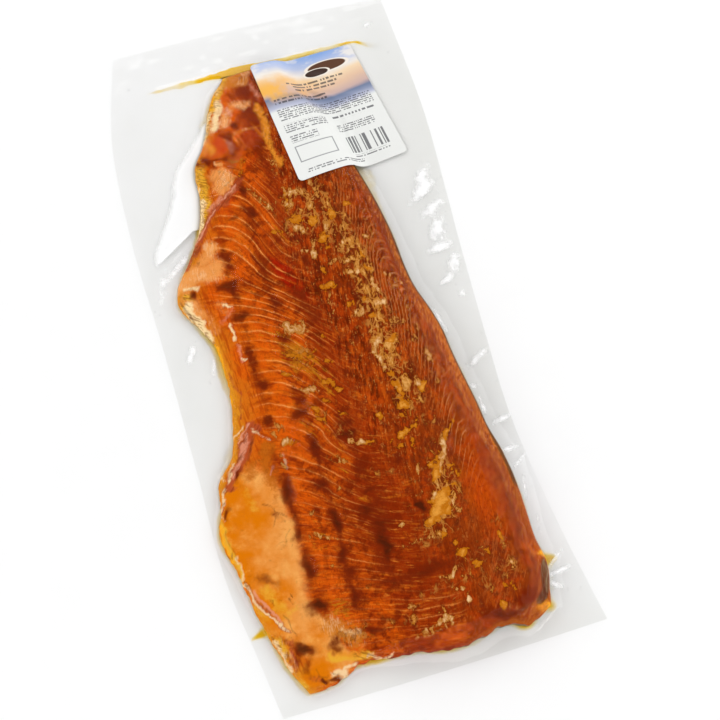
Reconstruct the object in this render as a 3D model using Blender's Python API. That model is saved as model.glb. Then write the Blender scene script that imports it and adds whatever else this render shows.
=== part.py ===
"""Vacuum pack of hot smoked trout fillet, lying on its back with the cut side of the fillet up.

The pouch is one closed solid: a thin flange of film all round, flat underneath, and the film drawn down over the
fillet in the middle. +Y points to the tail and to the pouch's header, +X to the thick back of the fish, +Z up.
The label is a thin sheet stuck on the film, half on the tail and half on the flange beside it.
Sizes are in millimetres until they are written into the meshes.
"""
import math

import bmesh
import bpy
import numpy as np
from mathutils import Vector
from mathutils.bvhtree import BVHTree

for old in list(bpy.data.objects):
    bpy.data.objects.remove(old, do_unlink=True)

MM = 0.001

# ---- the pouch -----------------------------------------------------------------------------------------------
FLANGE = 1.2            # two plies of film with the oil between them, as one solid
HEADER_END = 241.8      # top edge, past the seal
BOTTOM_END = -241.0     # edge behind the head cut
SEAL_Y = 206.0          # the cross seal that holds back the oil
SEAL_BEAD = 0.5         # oil standing in front of that seal

# Side edges of the pouch as (y, x). They bow in where the film is drawn over the fillet.
POUCH_LEFT = ((-241, -96), (-205, -101), (-157, -108), (-77, -109), (9, -110), (101, -112.5), (172, -108.6), (242, -93))
POUCH_RIGHT = ((-241, 113), (-178, 104.5), (-92, 98.2), (-34, 101), (27, 105), (90, 110), (125, 112.5), (242, 111))

# ---- the fillet ----------------------------------------------------------------------------------------------
TAIL_END = 202.4        # cut end of the tail

# Outline of the belly side as (y, x): flap, the nick above it, the pointed flap end, the waist, the fin and the tail.
BELLY = ((-231, -77), (-212, -85.5), (-182, -94), (-150, -100), (-122, -105), (-104, -99.5), (-88, -96.5), (-77, -86.5),
         (-56, -79.5), (-15, -75), (3, -77), (20, -84.5), (37, -93), (50, -90), (66, -79), (92, -64.5), (112, -59.5),
         (138, -56), (150, -48), (186, -29), (204, -19), (242, -40))
# Outline of the back as (y, x), from the head cut to the tail.
BACK = ((-231, 80), (-215, 83), (-202, 86.8), (-194, 87.6), (-182, 85.8), (-160, 86), (-142, 86), (-120, 84), (-100, 80),
        (-85, 78.8), (-60, 75.6), (-45, 74), (-30, 73), (-20, 71.2), (-10, 68.8), (0, 65.8), (10, 63.6), (20, 62.6), (50, 61.2),
        (60, 60.1), (85, 56.3), (100, 53.2), (145, 42), (204, 23), (242, 44))
# The head cut as (x, y), wavy across the fillet.
HEAD_CUT = ((-90, -229), (-76, -230.5), (-60, -230), (-44, -223), (-20, -224.5), (-6, -226), (8, -229.4), (22, -230.4),
            (36, -228.4), (46, -225.8), (54, -226), (60, -229.4), (66, -229.4), (74, -225.6), (82, -221), (92, -217))
# Thickness of the loin's crest along the fish as (y, mm).
CREST = ((-231, 17.5), (-200, 20), (-120, 22), (0, 20.8), (80, 17), (150, 12.5), (190, 9.2), (204, 8))
# Thickness across the fish, as (share of the width, share of the crest): at the middle of the fish, and at the tail.
ACROSS_BODY = ((0, 0.2), (0.1, 0.23), (0.2, 0.31), (0.3, 0.5), (0.42, 0.74), (0.55, 0.93), (0.69, 1.0), (0.82, 0.96),
               (0.92, 0.83), (1.0, 0.66))
ACROSS_TAIL = ((0, 0.34), (0.12, 0.5), (0.26, 0.72), (0.42, 0.9), (0.56, 0.98), (0.69, 1.0), (0.82, 0.95), (0.92, 0.84),
               (1.0, 0.66))

# ---- the flakes ----------------------------------------------------------------------------------------------
ROW = 4.0               # one row of the mesh; two rows make one flake
FLAKE = 0.45            # half the step from flake to flake
# How far the flakes drop from the belly towards the middle, as (y, mm), and how that drop is spread across the fish.
FLAKE_DROP = ((-231, 0), (-200, 7), (-165, 16), (-120, 32), (-60, 46), (0, 54), (50, 62), (90, 54), (130, 36), (165, 15),
              (200, 0), (242, 0))
DROP_ACROSS = ((0, 0), (0.1, 0.0), (0.18, 0.13), (0.26, 0.3), (0.34, 0.47), (0.42, 0.66), (0.5, 0.84), (0.58, 0.99),
               (0.66, 1.04), (0.74, 0.78), (0.82, 0.35), (0.9, 0.02), (0.95, 0.05), (1.0, 0.3))

# Lumps and hollows on the fillet: (x, y, long radius, short radius, turn in degrees, height).
LUMPS = (
    (-50, 133, 9, 5, 60, 1.6),        # root of the fin
    (-44, 112, 22, 3, 42, 0.9),       # fold of belly skin running up to the fin
    (-80, -72, 17, 3.2, 52, 1.6),     # pink fold at the top of the belly flap
    (-92, -166, 16, 2.6, 118, 1.3),   # rolled lip of the belly flap
    (-100, -128, 20, 2.4, 96, 0.9),   # its edge further up
    (-68, -224, 9, 4, 5, 1.4),        # crumpled corner at the head cut
    (-80, 46, 12, 8, 30, 1.0),        # tip of the upper flap
    (14, -216, 13, 5, 8, 1.8),        # loose flake at the head cut
    (60, -219, 10, 6, -20, 1.0),
    (26, -58, 7, 5, 80, 0.6),         # set juices between the flakes
    (38, -143, 14, 7, 40, 0.8),
    (44, -112, 12, 5, 75, 0.9),
    (-28, 125, 8, 4, 80, 0.8),
    (-56, 44, 5, 8, 0, -0.7),         # marks of the smoking rack
    (-55, -32, 5, 5, 0, -0.6),
    (-57, -107, 4, 10, 0, -0.6),
    (-57, -158, 4, 9, 0, -0.6),
    (-33, 24, 5, 5, 0, -0.6),
    (-34, -57, 6, 5, 0, -0.6),
    (-32, -134, 4, 7, 0, -0.6),
    (-8, -152, 5, 12, 0, -0.6),
)
# Creases pinched up in the right flange and in the film left of the fillet, in the same terms.
CREASES = (
    (93, 88, 9, 4, 60, 1.0), (88, 72, 9, 3.5, 35, 1.1), (90, 56, 8, 3, 18, 0.9), (90, 38, 10, 4, 62, 1.1),
    (92, 18, 11, 3.5, 70, 0.9), (88, -8, 9, 3, 20, 0.8), (86, -57, 9, 3.5, 30, 0.9), (78, -78, 12, 3, 95, 0.7),
    (88, -122, 9, 3, 5, 0.8), (88, -205, 12, 3, 55, 1.0), (-95, 4, 9, 3, 60, 0.8), (-84, -12, 8, 2.6, 75, 0.7),
    (-92, 68, 14, 4, 35, 1.2), (-98, 44, 12, 3.5, 75, 1.0),
)

# ---- the label -----------------------------------------------------------------------------------------------
LABEL_W, LABEL_H, LABEL_T = 80.0, 100.0, 0.4
LABEL_RADIUS = 3.0
LABEL_AT = (45.2, 153.6)
LABEL_TURN = 5.3        # degrees
CLEAR = 0.35            # air kept between label and film, in place of the glue


def curve(stations, t):
    """A smooth line through the stations (t, value), level beyond both ends."""
    ts, vs = np.array(stations, float).T
    slope = np.gradient(vs, ts)
    t = np.clip(np.asarray(t, float), ts[0], ts[-1])
    k = np.clip(np.searchsorted(ts, t) - 1, 0, len(ts) - 2)
    w = ts[k + 1] - ts[k]
    s = (t - ts[k]) / w
    return ((2 * s**3 - 3 * s**2 + 1) * vs[k] + (s**3 - 2 * s**2 + s) * w * slope[k]
            + (3 * s**2 - 2 * s**3) * vs[k + 1] + (s**3 - s**2) * w * slope[k + 1])


def smooth_step(a, b, t):
    s = np.clip((np.asarray(t, float) - a) / (b - a), 0, 1)
    return s * s * (3 - 2 * s)


def bumps(table, x, y):
    """Sum of turned bell shapes."""
    total = np.zeros_like(x)
    for bx, by, long_r, short_r, turn, height in table:
        c, s = math.cos(math.radians(turn)), math.sin(math.radians(turn))
        along, aside = (x - bx) * c + (y - by) * s, -(x - bx) * s + (y - by) * c
        total += height * np.exp(-(along / long_r) ** 2 - (aside / short_r) ** 2)
    return total


def film_height(x, y, flake):
    """Top of the pouch above the table. flake is -1 or 1, the side of the flake step that a row is on."""
    left, right, cut = curve(BELLY, y), curve(BACK, y), curve(HEAD_CUT, x)
    lean_l = np.hypot(1, (curve(BELLY, y + 1) - curve(BELLY, y - 1)) / 2)
    lean_r = np.hypot(1, (curve(BACK, y + 1) - curve(BACK, y - 1)) / 2)
    inside = np.minimum.reduce([(x - left) / lean_l, (right - x) / lean_r, y - cut, TAIL_END - y])
    share = np.clip((x - left) / (right - left), 0, 1)
    tail = smooth_step(30, 130, y)
    thick = curve(CREST, y) * (curve(ACROSS_BODY, share) * (1 - tail) + curve(ACROSS_TAIL, share) * tail)

    # the fillet's rounded rim, and outside it the film running down to the flange
    rim = np.clip(1 - inside / (0.7 * thick), 0, 1)
    dome = 0.25 + 0.75 * np.sqrt(1 - rim**2)
    reach = 2.5 + 0.75 * thick
    skirt = 0.25 * np.clip(1 + inside / reach, 0, 1) ** 2
    height = FLANGE + thick * np.where(inside > 0, dome, skirt)

    # film stretched like a tent across the hollow between the flap and the fin
    tent = np.exp(-((y - 98) / 34) ** 2) * np.clip(1 + inside / 34, 0, 1) ** 1.5 * (x < 0)
    height += np.where(inside > 0, 0, 2.6 * tent)

    # flakes: fine steps on the cut flesh, none on the smooth belly flap, at the rim or on the skin of the back
    flesh = smooth_step(2, 9, inside) * smooth_step(0.16, 0.3, share + 0.2 * tail)
    height += FLAKE * flake * flesh + bumps(LUMPS, x, y) * smooth_step(-3, 3, inside)
    height += bumps(CREASES, x, y) * smooth_step(-2, -9, inside)
    height += SEAL_BEAD * np.exp(-((y - SEAL_Y) / 2.0) ** 2) * smooth_step(-75, -60, x) * smooth_step(84, 72, x)
    return height


# ---- vacuum pouch: a grid laid along the flakes, raised to the film, then closed with a flat back -----------------
rows = [BOTTOM_END, -237, -233.6, -231.4, -230.2, -229.3, -228.3, -226.8, -224.4, -221.2, -217.4]
rows += list(np.arange(-213.5, 199, ROW)) + [200.3, 201.7, 202.5, 203.6, 205.9, 209, 218, 230, HEADER_END]
left_flange = [(0, f) for f in (0, 0.22, 0.42, 0.6, 0.76, 0.89)]
across = [(1, f) for f in (0, 0.014, 0.035, 0.065, 0.105, 0.15, 0.2, 0.25, 0.3, 0.35, 0.4, 0.45, 0.5, 0.55, 0.6, 0.65,
                           0.7, 0.75, 0.8, 0.845, 0.885, 0.92, 0.95, 0.973, 0.989, 1)]
right_flange = [(2, f) for f in (0.1, 0.22, 0.38, 0.58, 0.8, 1)]
columns = left_flange + across + right_flange

p = np.array(rows, float)[:, None]
part_of = np.array([c[0] for c in columns])[None, :]
frac = np.array([c[1] for c in columns])[None, :]
spread = np.where(part_of == 1, curve(DROP_ACROSS, frac), np.where(part_of == 2, 0.3 * (1 - frac) ** 2, 0))
y = p - curve(FLAKE_DROP, p) * spread
for _ in range(3):      # rows follow the wavy head cut, fading out over the flange and into the fillet
    left, right = curve(BELLY, y), curve(BACK, y)
    edge_l, edge_r = curve(POUCH_LEFT, y), curve(POUCH_RIGHT, y)
    x = np.where(part_of == 0, edge_l + (left - edge_l) * frac,
                 np.where(part_of == 1, left + (right - left) * frac, right + (edge_r - right) * frac))
    follow = np.where(p < -229, smooth_step(BOTTOM_END, -229, p), smooth_step(-190, -229, p))
    y = p - curve(FLAKE_DROP, p) * spread + (curve(HEAD_CUT, x) + 228) * follow
bow = (x / 105) ** 2    # both end edges bow a little
y += 1.2 * bow * smooth_step(-233, BOTTOM_END, p) - 2.6 * bow * smooth_step(206, HEADER_END, p)
side = np.where(np.arange(len(rows)) % 2 == 0, 1.0, -1.0)[:, None] * np.ones_like(x)
z = film_height(x, y, side)

mesh = bmesh.new()
bmesh.ops.create_grid(mesh, x_segments=len(columns) - 1, y_segments=len(rows) - 1, size=0.5)
n_cols = len(columns) - 1
n_rows = len(rows) - 1
mid_x, mid_y = (x.min() + x.max()) / 2, (y.min() + y.max()) / 2
for v in mesh.verts:
    i, j = round((v.co.x + 0.5) * n_cols), round((v.co.y + 0.5) * n_rows)
    v.co = Vector((x[j, i] - mid_x, y[j, i] - mid_y, z[j, i])) * MM
rim_edges = [e for e in mesh.edges if e.is_boundary]
wall = bmesh.ops.extrude_edge_only(mesh, edges=rim_edges)
for v in (g for g in wall["geom"] if isinstance(g, bmesh.types.BMVert)):
    v.co.z = 0.0
bmesh.ops.holes_fill(mesh, edges=[e for e in mesh.edges if e.is_boundary], sides=0)
bmesh.ops.recalc_face_normals(mesh, faces=mesh.faces)
pouch_data = bpy.data.meshes.new("vacuum_pouch")
mesh.to_mesh(pouch_data)
film_tree = BVHTree.FromBMesh(mesh)
mesh.free()
pouch = bpy.data.objects.new("vacuum_pouch", pouch_data)
bpy.context.collection.objects.link(pouch)

film = bpy.data.materials.new("film_over_fillet")
film.use_nodes = True
film.node_tree.nodes["Principled BSDF"].inputs["Base Color"].default_value = (0.45, 0.11, 0.02, 1)
film.node_tree.nodes["Principled BSDF"].inputs["Roughness"].default_value = 0.22
pouch_data.materials.append(film)
pouch_data.shade_smooth()


# ---- label: a sheet with rounded corners that follows the film and bridges its small hollows ----------------------
def film_top(px, py):
    hit = film_tree.ray_cast(Vector((px * MM, py * MM, 0.1)), Vector((0, 0, -1)))
    return hit[0].z / MM


turn = math.radians(LABEL_TURN)
cos_t, sin_t = math.cos(turn), math.sin(turn)


def on_table(a, b):
    """Label coordinates (across, up) to the table. Creases take up more of its right side than of its left."""
    a, b = a * (1 - 0.00084 * b) - 0.024 * b - 0.3, b * (1.013 - 0.00095 * a) + 0.6
    return (LABEL_AT[0] - mid_x + a * cos_t - b * sin_t, LABEL_AT[1] - mid_y + a * sin_t + b * cos_t)


STEP = 2.0              # fine net on which the sheet settles
na, nb = int(LABEL_W / STEP) + 1, int(LABEL_H / STEP) + 1
ground = np.array([[film_top(*on_table(-LABEL_W / 2 + i * STEP, -LABEL_H / 2 + j * STEP)) for i in range(na)]
                   for j in range(nb)])
reach = np.pad(ground, 1, mode="edge")
ground = np.max([reach[a:a + nb, b:b + na] for a in range(3) for b in range(3)], axis=0)
sheet = ground.copy()
for _ in range(30):     # the paper smooths itself out but can't sink into the film
    padded = np.pad(sheet, 1, mode="edge")
    sheet = np.maximum(ground, (padded[:-2, 1:-1] + padded[2:, 1:-1] + padded[1:-1, :-2] + padded[1:-1, 2:]) / 4)


def sheet_height(a, b):
    fa = min(max((a + LABEL_W / 2) / STEP, 0), na - 1.001)
    fb = min(max((b + LABEL_H / 2) / STEP, 0), nb - 1.001)
    i, j = int(fa), int(fb)
    u, v = fa - i, fb - j
    return (sheet[j, i] * (1 - u) * (1 - v) + sheet[j, i + 1] * u * (1 - v)
            + sheet[j + 1, i] * (1 - u) * v + sheet[j + 1, i + 1] * u * v)


def lines(length, count):
    """Grid lines across a side: one at each end, one where the corner's arc starts, the rest even."""
    inner = np.linspace(-length / 2 + LABEL_RADIUS, length / 2 - LABEL_RADIUS, count - 2)
    return [-length / 2, *inner, length / 2]


cols_l, rows_l = lines(LABEL_W, 22), lines(LABEL_H, 26)
mesh = bmesh.new()
bmesh.ops.create_grid(mesh, x_segments=len(cols_l) - 1, y_segments=len(rows_l) - 1, size=0.5)
tuck = LABEL_RADIUS * (1 - math.sqrt(0.5))
for v in mesh.verts:
    i, j = round((v.co.x + 0.5) * (len(cols_l) - 1)), round((v.co.y + 0.5) * (len(rows_l) - 1))
    a, b = cols_l[i], rows_l[j]
    if i in (0, len(cols_l) - 1) and j in (0, len(rows_l) - 1):
        a, b = a - math.copysign(tuck, a), b - math.copysign(tuck, b)
    tx, ty = on_table(a, b)
    v.co = Vector((tx, ty, sheet_height(a, b) + CLEAR + 0.15)) * MM
lower = list(mesh.faces)
top = bmesh.ops.extrude_face_region(mesh, geom=lower)
for v in (g for g in top["geom"] if isinstance(g, bmesh.types.BMVert)):
    v.co.z += LABEL_T * MM
bmesh.ops.recalc_face_normals(mesh, faces=mesh.faces)
label_data = bpy.data.meshes.new("label")
mesh.to_mesh(label_data)
mesh.free()
label = bpy.data.objects.new("label", label_data)
bpy.context.collection.objects.link(label)

paper = bpy.data.materials.new("label_paper")
paper.use_nodes = True
paper.node_tree.nodes["Principled BSDF"].inputs["Base Color"].default_value = (0.85, 0.85, 0.86, 1)
paper.node_tree.nodes["Principled BSDF"].inputs["Roughness"].default_value = 0.35
label_data.materials.append(paper)
label_data.shade_smooth()
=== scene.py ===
"""A side of hot smoked trout in its clear vacuum pouch, lying flat with the label over its tail."""
import math

import bpy
import numpy as np
from mathutils import Matrix, Vector


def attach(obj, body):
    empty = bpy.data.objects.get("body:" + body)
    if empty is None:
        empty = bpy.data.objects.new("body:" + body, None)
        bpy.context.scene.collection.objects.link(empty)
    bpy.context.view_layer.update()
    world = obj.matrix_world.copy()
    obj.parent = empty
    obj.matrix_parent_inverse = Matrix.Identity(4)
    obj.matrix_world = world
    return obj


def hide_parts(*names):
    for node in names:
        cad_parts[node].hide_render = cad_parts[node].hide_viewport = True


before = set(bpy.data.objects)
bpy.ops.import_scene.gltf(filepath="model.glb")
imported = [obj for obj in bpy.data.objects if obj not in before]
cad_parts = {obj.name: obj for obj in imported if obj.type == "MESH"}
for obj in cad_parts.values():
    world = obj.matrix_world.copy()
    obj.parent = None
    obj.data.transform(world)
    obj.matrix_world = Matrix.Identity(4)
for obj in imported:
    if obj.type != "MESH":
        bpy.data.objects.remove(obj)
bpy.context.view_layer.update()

# ---- Fillet ------------------------------------------------------------------------------------------------
# One whole side of a trout, brined, hot smoked on a wire rack and laid on its skin: thin belly flap on the
# left, thick back on the right, tail at the top. The cut face is oily muscle in zigzag flakes, marked by the
# rack and spotted with set white and yellow juices; the skin underneath is silver and bronze.
MM = 0.001
CENTRE = (0.302, 0.4)       # middle of the pouch in the plan that all the places below are given in, mm
TAIL_END = 202.4
# Outline of the fish: x by y at the belly and the back, y by x at the head cut.
BELLY = (
    (-231, -77), (-212, -85.5), (-182, -94), (-150, -100), (-122, -105), (-104, -99.5), (-88, -96.5),
    (-77, -86.5), (-56, -79.5), (-15, -75), (3, -77), (20, -84.5), (37, -93), (50, -90), (66, -79),
    (92, -64.5), (112, -59.5), (138, -56), (150, -48), (160, -43.5), (170, -40), (180, -36), (190, -30.2),
    (204, -19), (242, -40))
BACK = (
    (-231, 80), (-215, 83), (-202, 86.8), (-194, 87.6), (-182, 85.8), (-160, 86), (-142, 86), (-120, 84),
    (-100, 80), (-85, 78.8), (-60, 75.6), (-45, 74), (-30, 73), (-20, 71.2), (-10, 68.8), (0, 65.8),
    (10, 63.6), (20, 62.6), (50, 61.2), (60, 60.1), (85, 56.3), (100, 53.2), (145, 42), (204, 23), (242, 44))
HEAD_CUT = (
    (-90, -229), (-76, -230.5), (-60, -230), (-44, -223), (-20, -224.5), (-6, -226), (8, -229.4),
    (22, -230.4), (36, -228.4), (46, -225.8), (54, -226), (60, -229.4), (66, -229.4), (74, -225.6),
    (82, -221), (92, -217))
# Height of the crest by y, and the share of it that is reached across the width, from belly to back.
CREST = ((-231, 17.5), (-200, 20), (-120, 22), (0, 20.8), (80, 17), (150, 12.5), (190, 9.2), (204, 8))
ACROSS_BODY = (
    (0, 0.2), (0.1, 0.23), (0.2, 0.31), (0.3, 0.5), (0.42, 0.74), (0.55, 0.93), (0.69, 1), (0.82, 0.96),
    (0.92, 0.83), (1, 0.66))
ACROSS_TAIL = (
    (0, 0.34), (0.12, 0.5), (0.26, 0.72), (0.42, 0.9), (0.56, 0.98), (0.69, 1), (0.82, 0.95), (0.92, 0.84),
    (1, 0.66))
# How far the flakes are swept towards the tail by place along the fish, and the share of that across the
# width.
FLAKE_DROP = (
    (-231, 8), (-200, 14), (-165, 24), (-120, 42), (-60, 53), (0, 62), (50, 68), (90, 62), (130, 58),
    (200, 55))
DROP_ACROSS = (
    (0, 0.1), (0.1, 0), (0.18, 0.04), (0.26, 0.14), (0.34, 0.33), (0.42, 0.6), (0.5, 0.87), (0.58, 1.02),
    (0.66, 1.06), (0.74, 0.79), (0.82, 0.33), (0.9, -0.12), (0.94, -0.1), (1, 0.3))
# Lumps and hollows, as the bell shapes of bumps.
LUMPS = (
    (-50, 133, 9, 5, 60, 1.6), (-44, 112, 22, 3, 42, 0.9), (-80, -72, 17, 3.2, 52, 1.6),
    (-92, -166, 16, 2.6, 118, 1.3), (-100, -128, 20, 2.4, 96, 0.9), (-68, -224, 9, 4, 5, 1.4),
    (-80, 46, 12, 8, 30, 1), (14, -216, 13, 5, 8, 1.8), (60, -219, 10, 6, -20, 1), (26, -58, 7, 5, 80, 0.6),
    (38, -143, 14, 7, 40, 0.8), (44, -112, 12, 5, 75, 0.9), (-28, 125, 8, 4, 80, 0.8),
    (-56, 44, 5, 8, 0, -0.7), (-55, -32, 5, 5, 0, -0.6), (-57, -107, 4, 10, 0, -0.6),
    (-57, -158, 4, 9, 0, -0.6), (-33, 24, 5, 5, 0, -0.6), (-34, -57, 6, 5, 0, -0.6),
    (-32, -134, 4, 7, 0, -0.6), (-8, -152, 5, 12, 0, -0.6))
FLAKE_PITCH = 7.8           # from one flake to the next, measured along the fish
BACK_PITCH = 6.4            # the same on the back
SKIN_AT = 0.6               # underside of the fish above the table
MEAT_ON_SKIN = 0.75         # and where the rise of its upper side starts from
ACROSS_CELLS, ALONG_CELLS = 204, 432


def curve(stations, t):
    """A smooth line through the stations (t, value), level beyond both ends."""
    ts, vs = np.array(stations, float).T
    slope = np.gradient(vs, ts)
    t = np.clip(np.asarray(t, float), ts[0], ts[-1])
    k = np.clip(np.searchsorted(ts, t) - 1, 0, len(ts) - 2)
    w = ts[k + 1] - ts[k]
    s = (t - ts[k]) / w
    return ((2 * s**3 - 3 * s**2 + 1) * vs[k] + (s**3 - 2 * s**2 + s) * w * slope[k]
            + (3 * s**2 - 2 * s**3) * vs[k + 1] + (s**3 - s**2) * w * slope[k + 1])


def smooth_step(a, b, t):
    s = np.clip((np.asarray(t, float) - a) / (b - a), 0, 1)
    return s * s * (3 - 2 * s)


def crowded(t, amount):
    """Steps from 0 to 1, set closer together towards both ends."""
    return (1 - amount) * t + amount * (0.5 - 0.5 * np.cos(math.pi * t))


def bumps(table, x, y):
    """Sum of turned bell shapes (x, y, long radius, short radius, turn in degrees, height)."""
    total = np.zeros_like(x)
    for bx, by, long_r, short_r, turn, height in table:
        c, s = math.cos(math.radians(turn)), math.sin(math.radians(turn))
        along, aside = (x - bx) * c + (y - by) * s, -(x - bx) * s + (y - by) * c
        total += height * np.exp(-(along / long_r) ** 2 - (aside / short_r) ** 2)
    return total


def grain(x, y, size, seed):
    """Smooth random values from -1 to 1 that change over about size mm."""
    net = np.random.default_rng(seed).uniform(-1, 1, (257, 257))
    gx, gy = (x / size + 128) % 256, (y / size + 128) % 256
    i, j = gx.astype(int), gy.astype(int)
    u, v = gx - i, gy - j
    u, v = u * u * (3 - 2 * u), v * v * (3 - 2 * v)
    return ((net[i, j] * (1 - u) + net[i + 1, j] * u) * (1 - v)
            + (net[i, j + 1] * (1 - u) + net[i + 1, j + 1] * u) * v)


def strokes(table, x, y):
    """Soft lines (half width, strength, (x, y), (x, y), ...). Where they cross, the stronger one counts."""
    total = np.zeros_like(x)
    for half_width, strength, *points in table:
        gap = np.full_like(x, 1e9)
        for (ax, ay), (bx, by) in zip(points, points[1:]):
            dx, dy = bx - ax, by - ay
            along = np.clip(((x - ax) * dx + (y - ay) * dy) / (dx * dx + dy * dy), 0, 1)
            gap = np.minimum(gap, (x - ax - along * dx) ** 2 + (y - ay - along * dy) ** 2)
        total = np.maximum(total, strength * np.exp(-gap / half_width**2))
    return total


def lie_of_fish(x, y):
    """Share of the width from belly to back, place along the flakes, and mm in from the outline."""
    left, right, cut = curve(BELLY, y), curve(BACK, y), curve(HEAD_CUT, x)
    lean_l = np.hypot(1, (curve(BELLY, y + 1) - curve(BELLY, y - 1)) / 2)
    lean_r = np.hypot(1, (curve(BACK, y + 1) - curve(BACK, y - 1)) / 2)
    inside = np.minimum.reduce([(x - left) / lean_l, (right - x) / lean_r, y - cut, TAIL_END - y])
    share = np.clip((x - left) / (right - left), 0, 1)
    flake = np.array(y, float)
    for _ in range(20):         # settles where the sweep is that of the flake's own place
        flake = 0.3 * flake + 0.7 * (y + curve(FLAKE_DROP, flake) * curve(DROP_ACROSS, share))
    return share, flake, inside


def body_rise(y, share, inside):
    """Height of the fish above its own skin, and of the skirt that the film makes around it."""
    tail = smooth_step(30, 130, y)
    thick = curve(CREST, y) * (curve(ACROSS_BODY, share) * (1 - tail) + curve(ACROSS_TAIL, share) * tail)
    rim = np.clip(1 - inside / (0.7 * thick), 0, 1)
    dome = 0.25 + 0.75 * np.sqrt(1 - rim**2)
    skirt = 0.25 * np.clip(1 + inside / (2.5 + 0.75 * thick), 0, 1) ** 2
    return thick * np.where(inside > 0, dome, skirt)


def flake_relief(x, y, share, flake, inside):
    """Steps from flake to flake, fine fibres and set juices, in mm either way."""
    belly_side = smooth_step(0.1, 0.24, share) * smooth_step(0.6, 0.45, share)
    back_side = smooth_step(0.7, 0.78, share) * smooth_step(0.92, 0.88, share)
    step = flake / FLAKE_PITCH % 1
    saw = (0.5 - step) * smooth_step(0, 0.15, step)
    uneven = 0.16 * grain(x, y, 7, 11) + 0.1 * grain(x, y, 3, 12) + 0.07 * grain(x, y * 0.3, 1.6, 13)
    return ((0.5 * belly_side + 0.2 * back_side) * saw + uneven) * smooth_step(1, 6, inside)


def places(piece):
    """The places of a mesh's vertices, one row each."""
    found = np.empty(len(piece.data.vertices) * 3)
    piece.data.vertices.foreach_get("co", found)
    return found.reshape(-1, 3)


def in_plan(piece):
    """Where the vertices lie in the plan, and their height, in mm."""
    x, y, z = places(piece).T / MM
    return x + CENTRE[0], y + CENTRE[1], z


def new_grid(name, across, along):
    """A flat grid as a new piece, and how far each vertex is across and along it, from 0 to 1."""
    bpy.ops.object.select_all(action="DESELECT")
    bpy.ops.mesh.primitive_grid_add(x_subdivisions=across, y_subdivisions=along, size=1)
    piece = bpy.context.object
    piece.name = piece.data.name = name
    s, t, _ = places(piece).T + 0.5
    return piece, s, t


def shape(piece, x, y, z):
    """Puts the vertices at these places of the plan, in mm."""
    piece.data.vertices.foreach_set("co", (np.stack([x - CENTRE[0], y - CENTRE[1], z], 1) * MM).ravel())
    piece.data.update()


def close_below(height, crease):
    """Carries the open edge down to height, in mm, closes it there flat, and smooths all but the creases."""
    bpy.ops.object.mode_set(mode="EDIT")
    bpy.ops.mesh.select_mode(type="EDGE")
    bpy.ops.mesh.select_all(action="SELECT")
    bpy.ops.mesh.region_to_loop()
    bpy.ops.mesh.extrude_edges_move(TRANSFORM_OT_translate={"value": (0, 0, -0.3 * MM)})
    bpy.ops.transform.resize(value=(1, 1, 0), center_override=(0, 0, height * MM))
    bpy.ops.mesh.edge_face_add()
    bpy.ops.mesh.select_all(action="SELECT")
    bpy.ops.mesh.normals_make_consistent(inside=False)
    bpy.ops.object.mode_set(mode="OBJECT")
    bpy.ops.object.shade_smooth_by_angle(angle=math.radians(crease))


def mark(piece, values):
    """Keeps named values on the mesh, one for each vertex, for its material to read."""
    for name, row in values.items():
        piece.data.attributes.new(name, "FLOAT", "POINT").data.foreach_set("value", row.astype(float))


fillet, s, t = new_grid("fillet", ACROSS_CELLS, ALONG_CELLS)
s, t = crowded(s, 0.35), crowded(t, 0.15)
x = -90 + 170 * s
for _ in range(6):          # the head cut depends on x, and x on the outline at y
    cut = curve(HEAD_CUT, x) + 0.8 * grain(x, x * 0, 4, 21)
    y = cut + (TAIL_END + 0.7 * grain(x, x * 0, 5, 22) - cut) * t
    left = curve(BELLY, y) + 0.5 * grain(y, y * 0, 5, 23) + 0.35 * grain(y, y * 0, 2, 24)
    x = left + (curve(BACK, y) + 0.35 * grain(y, y * 0, 6, 25) - left) * s
share, flake, inside = lie_of_fish(x, y)
inside = np.maximum(inside, 0.01)
shape(fillet, x, y, MEAT_ON_SKIN + body_rise(y, share, inside)
      + bumps(LUMPS, x, y) * smooth_step(-3, 3, inside) + flake_relief(x, y, share, flake, inside))
close_below(SKIN_AT, 50)

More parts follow.
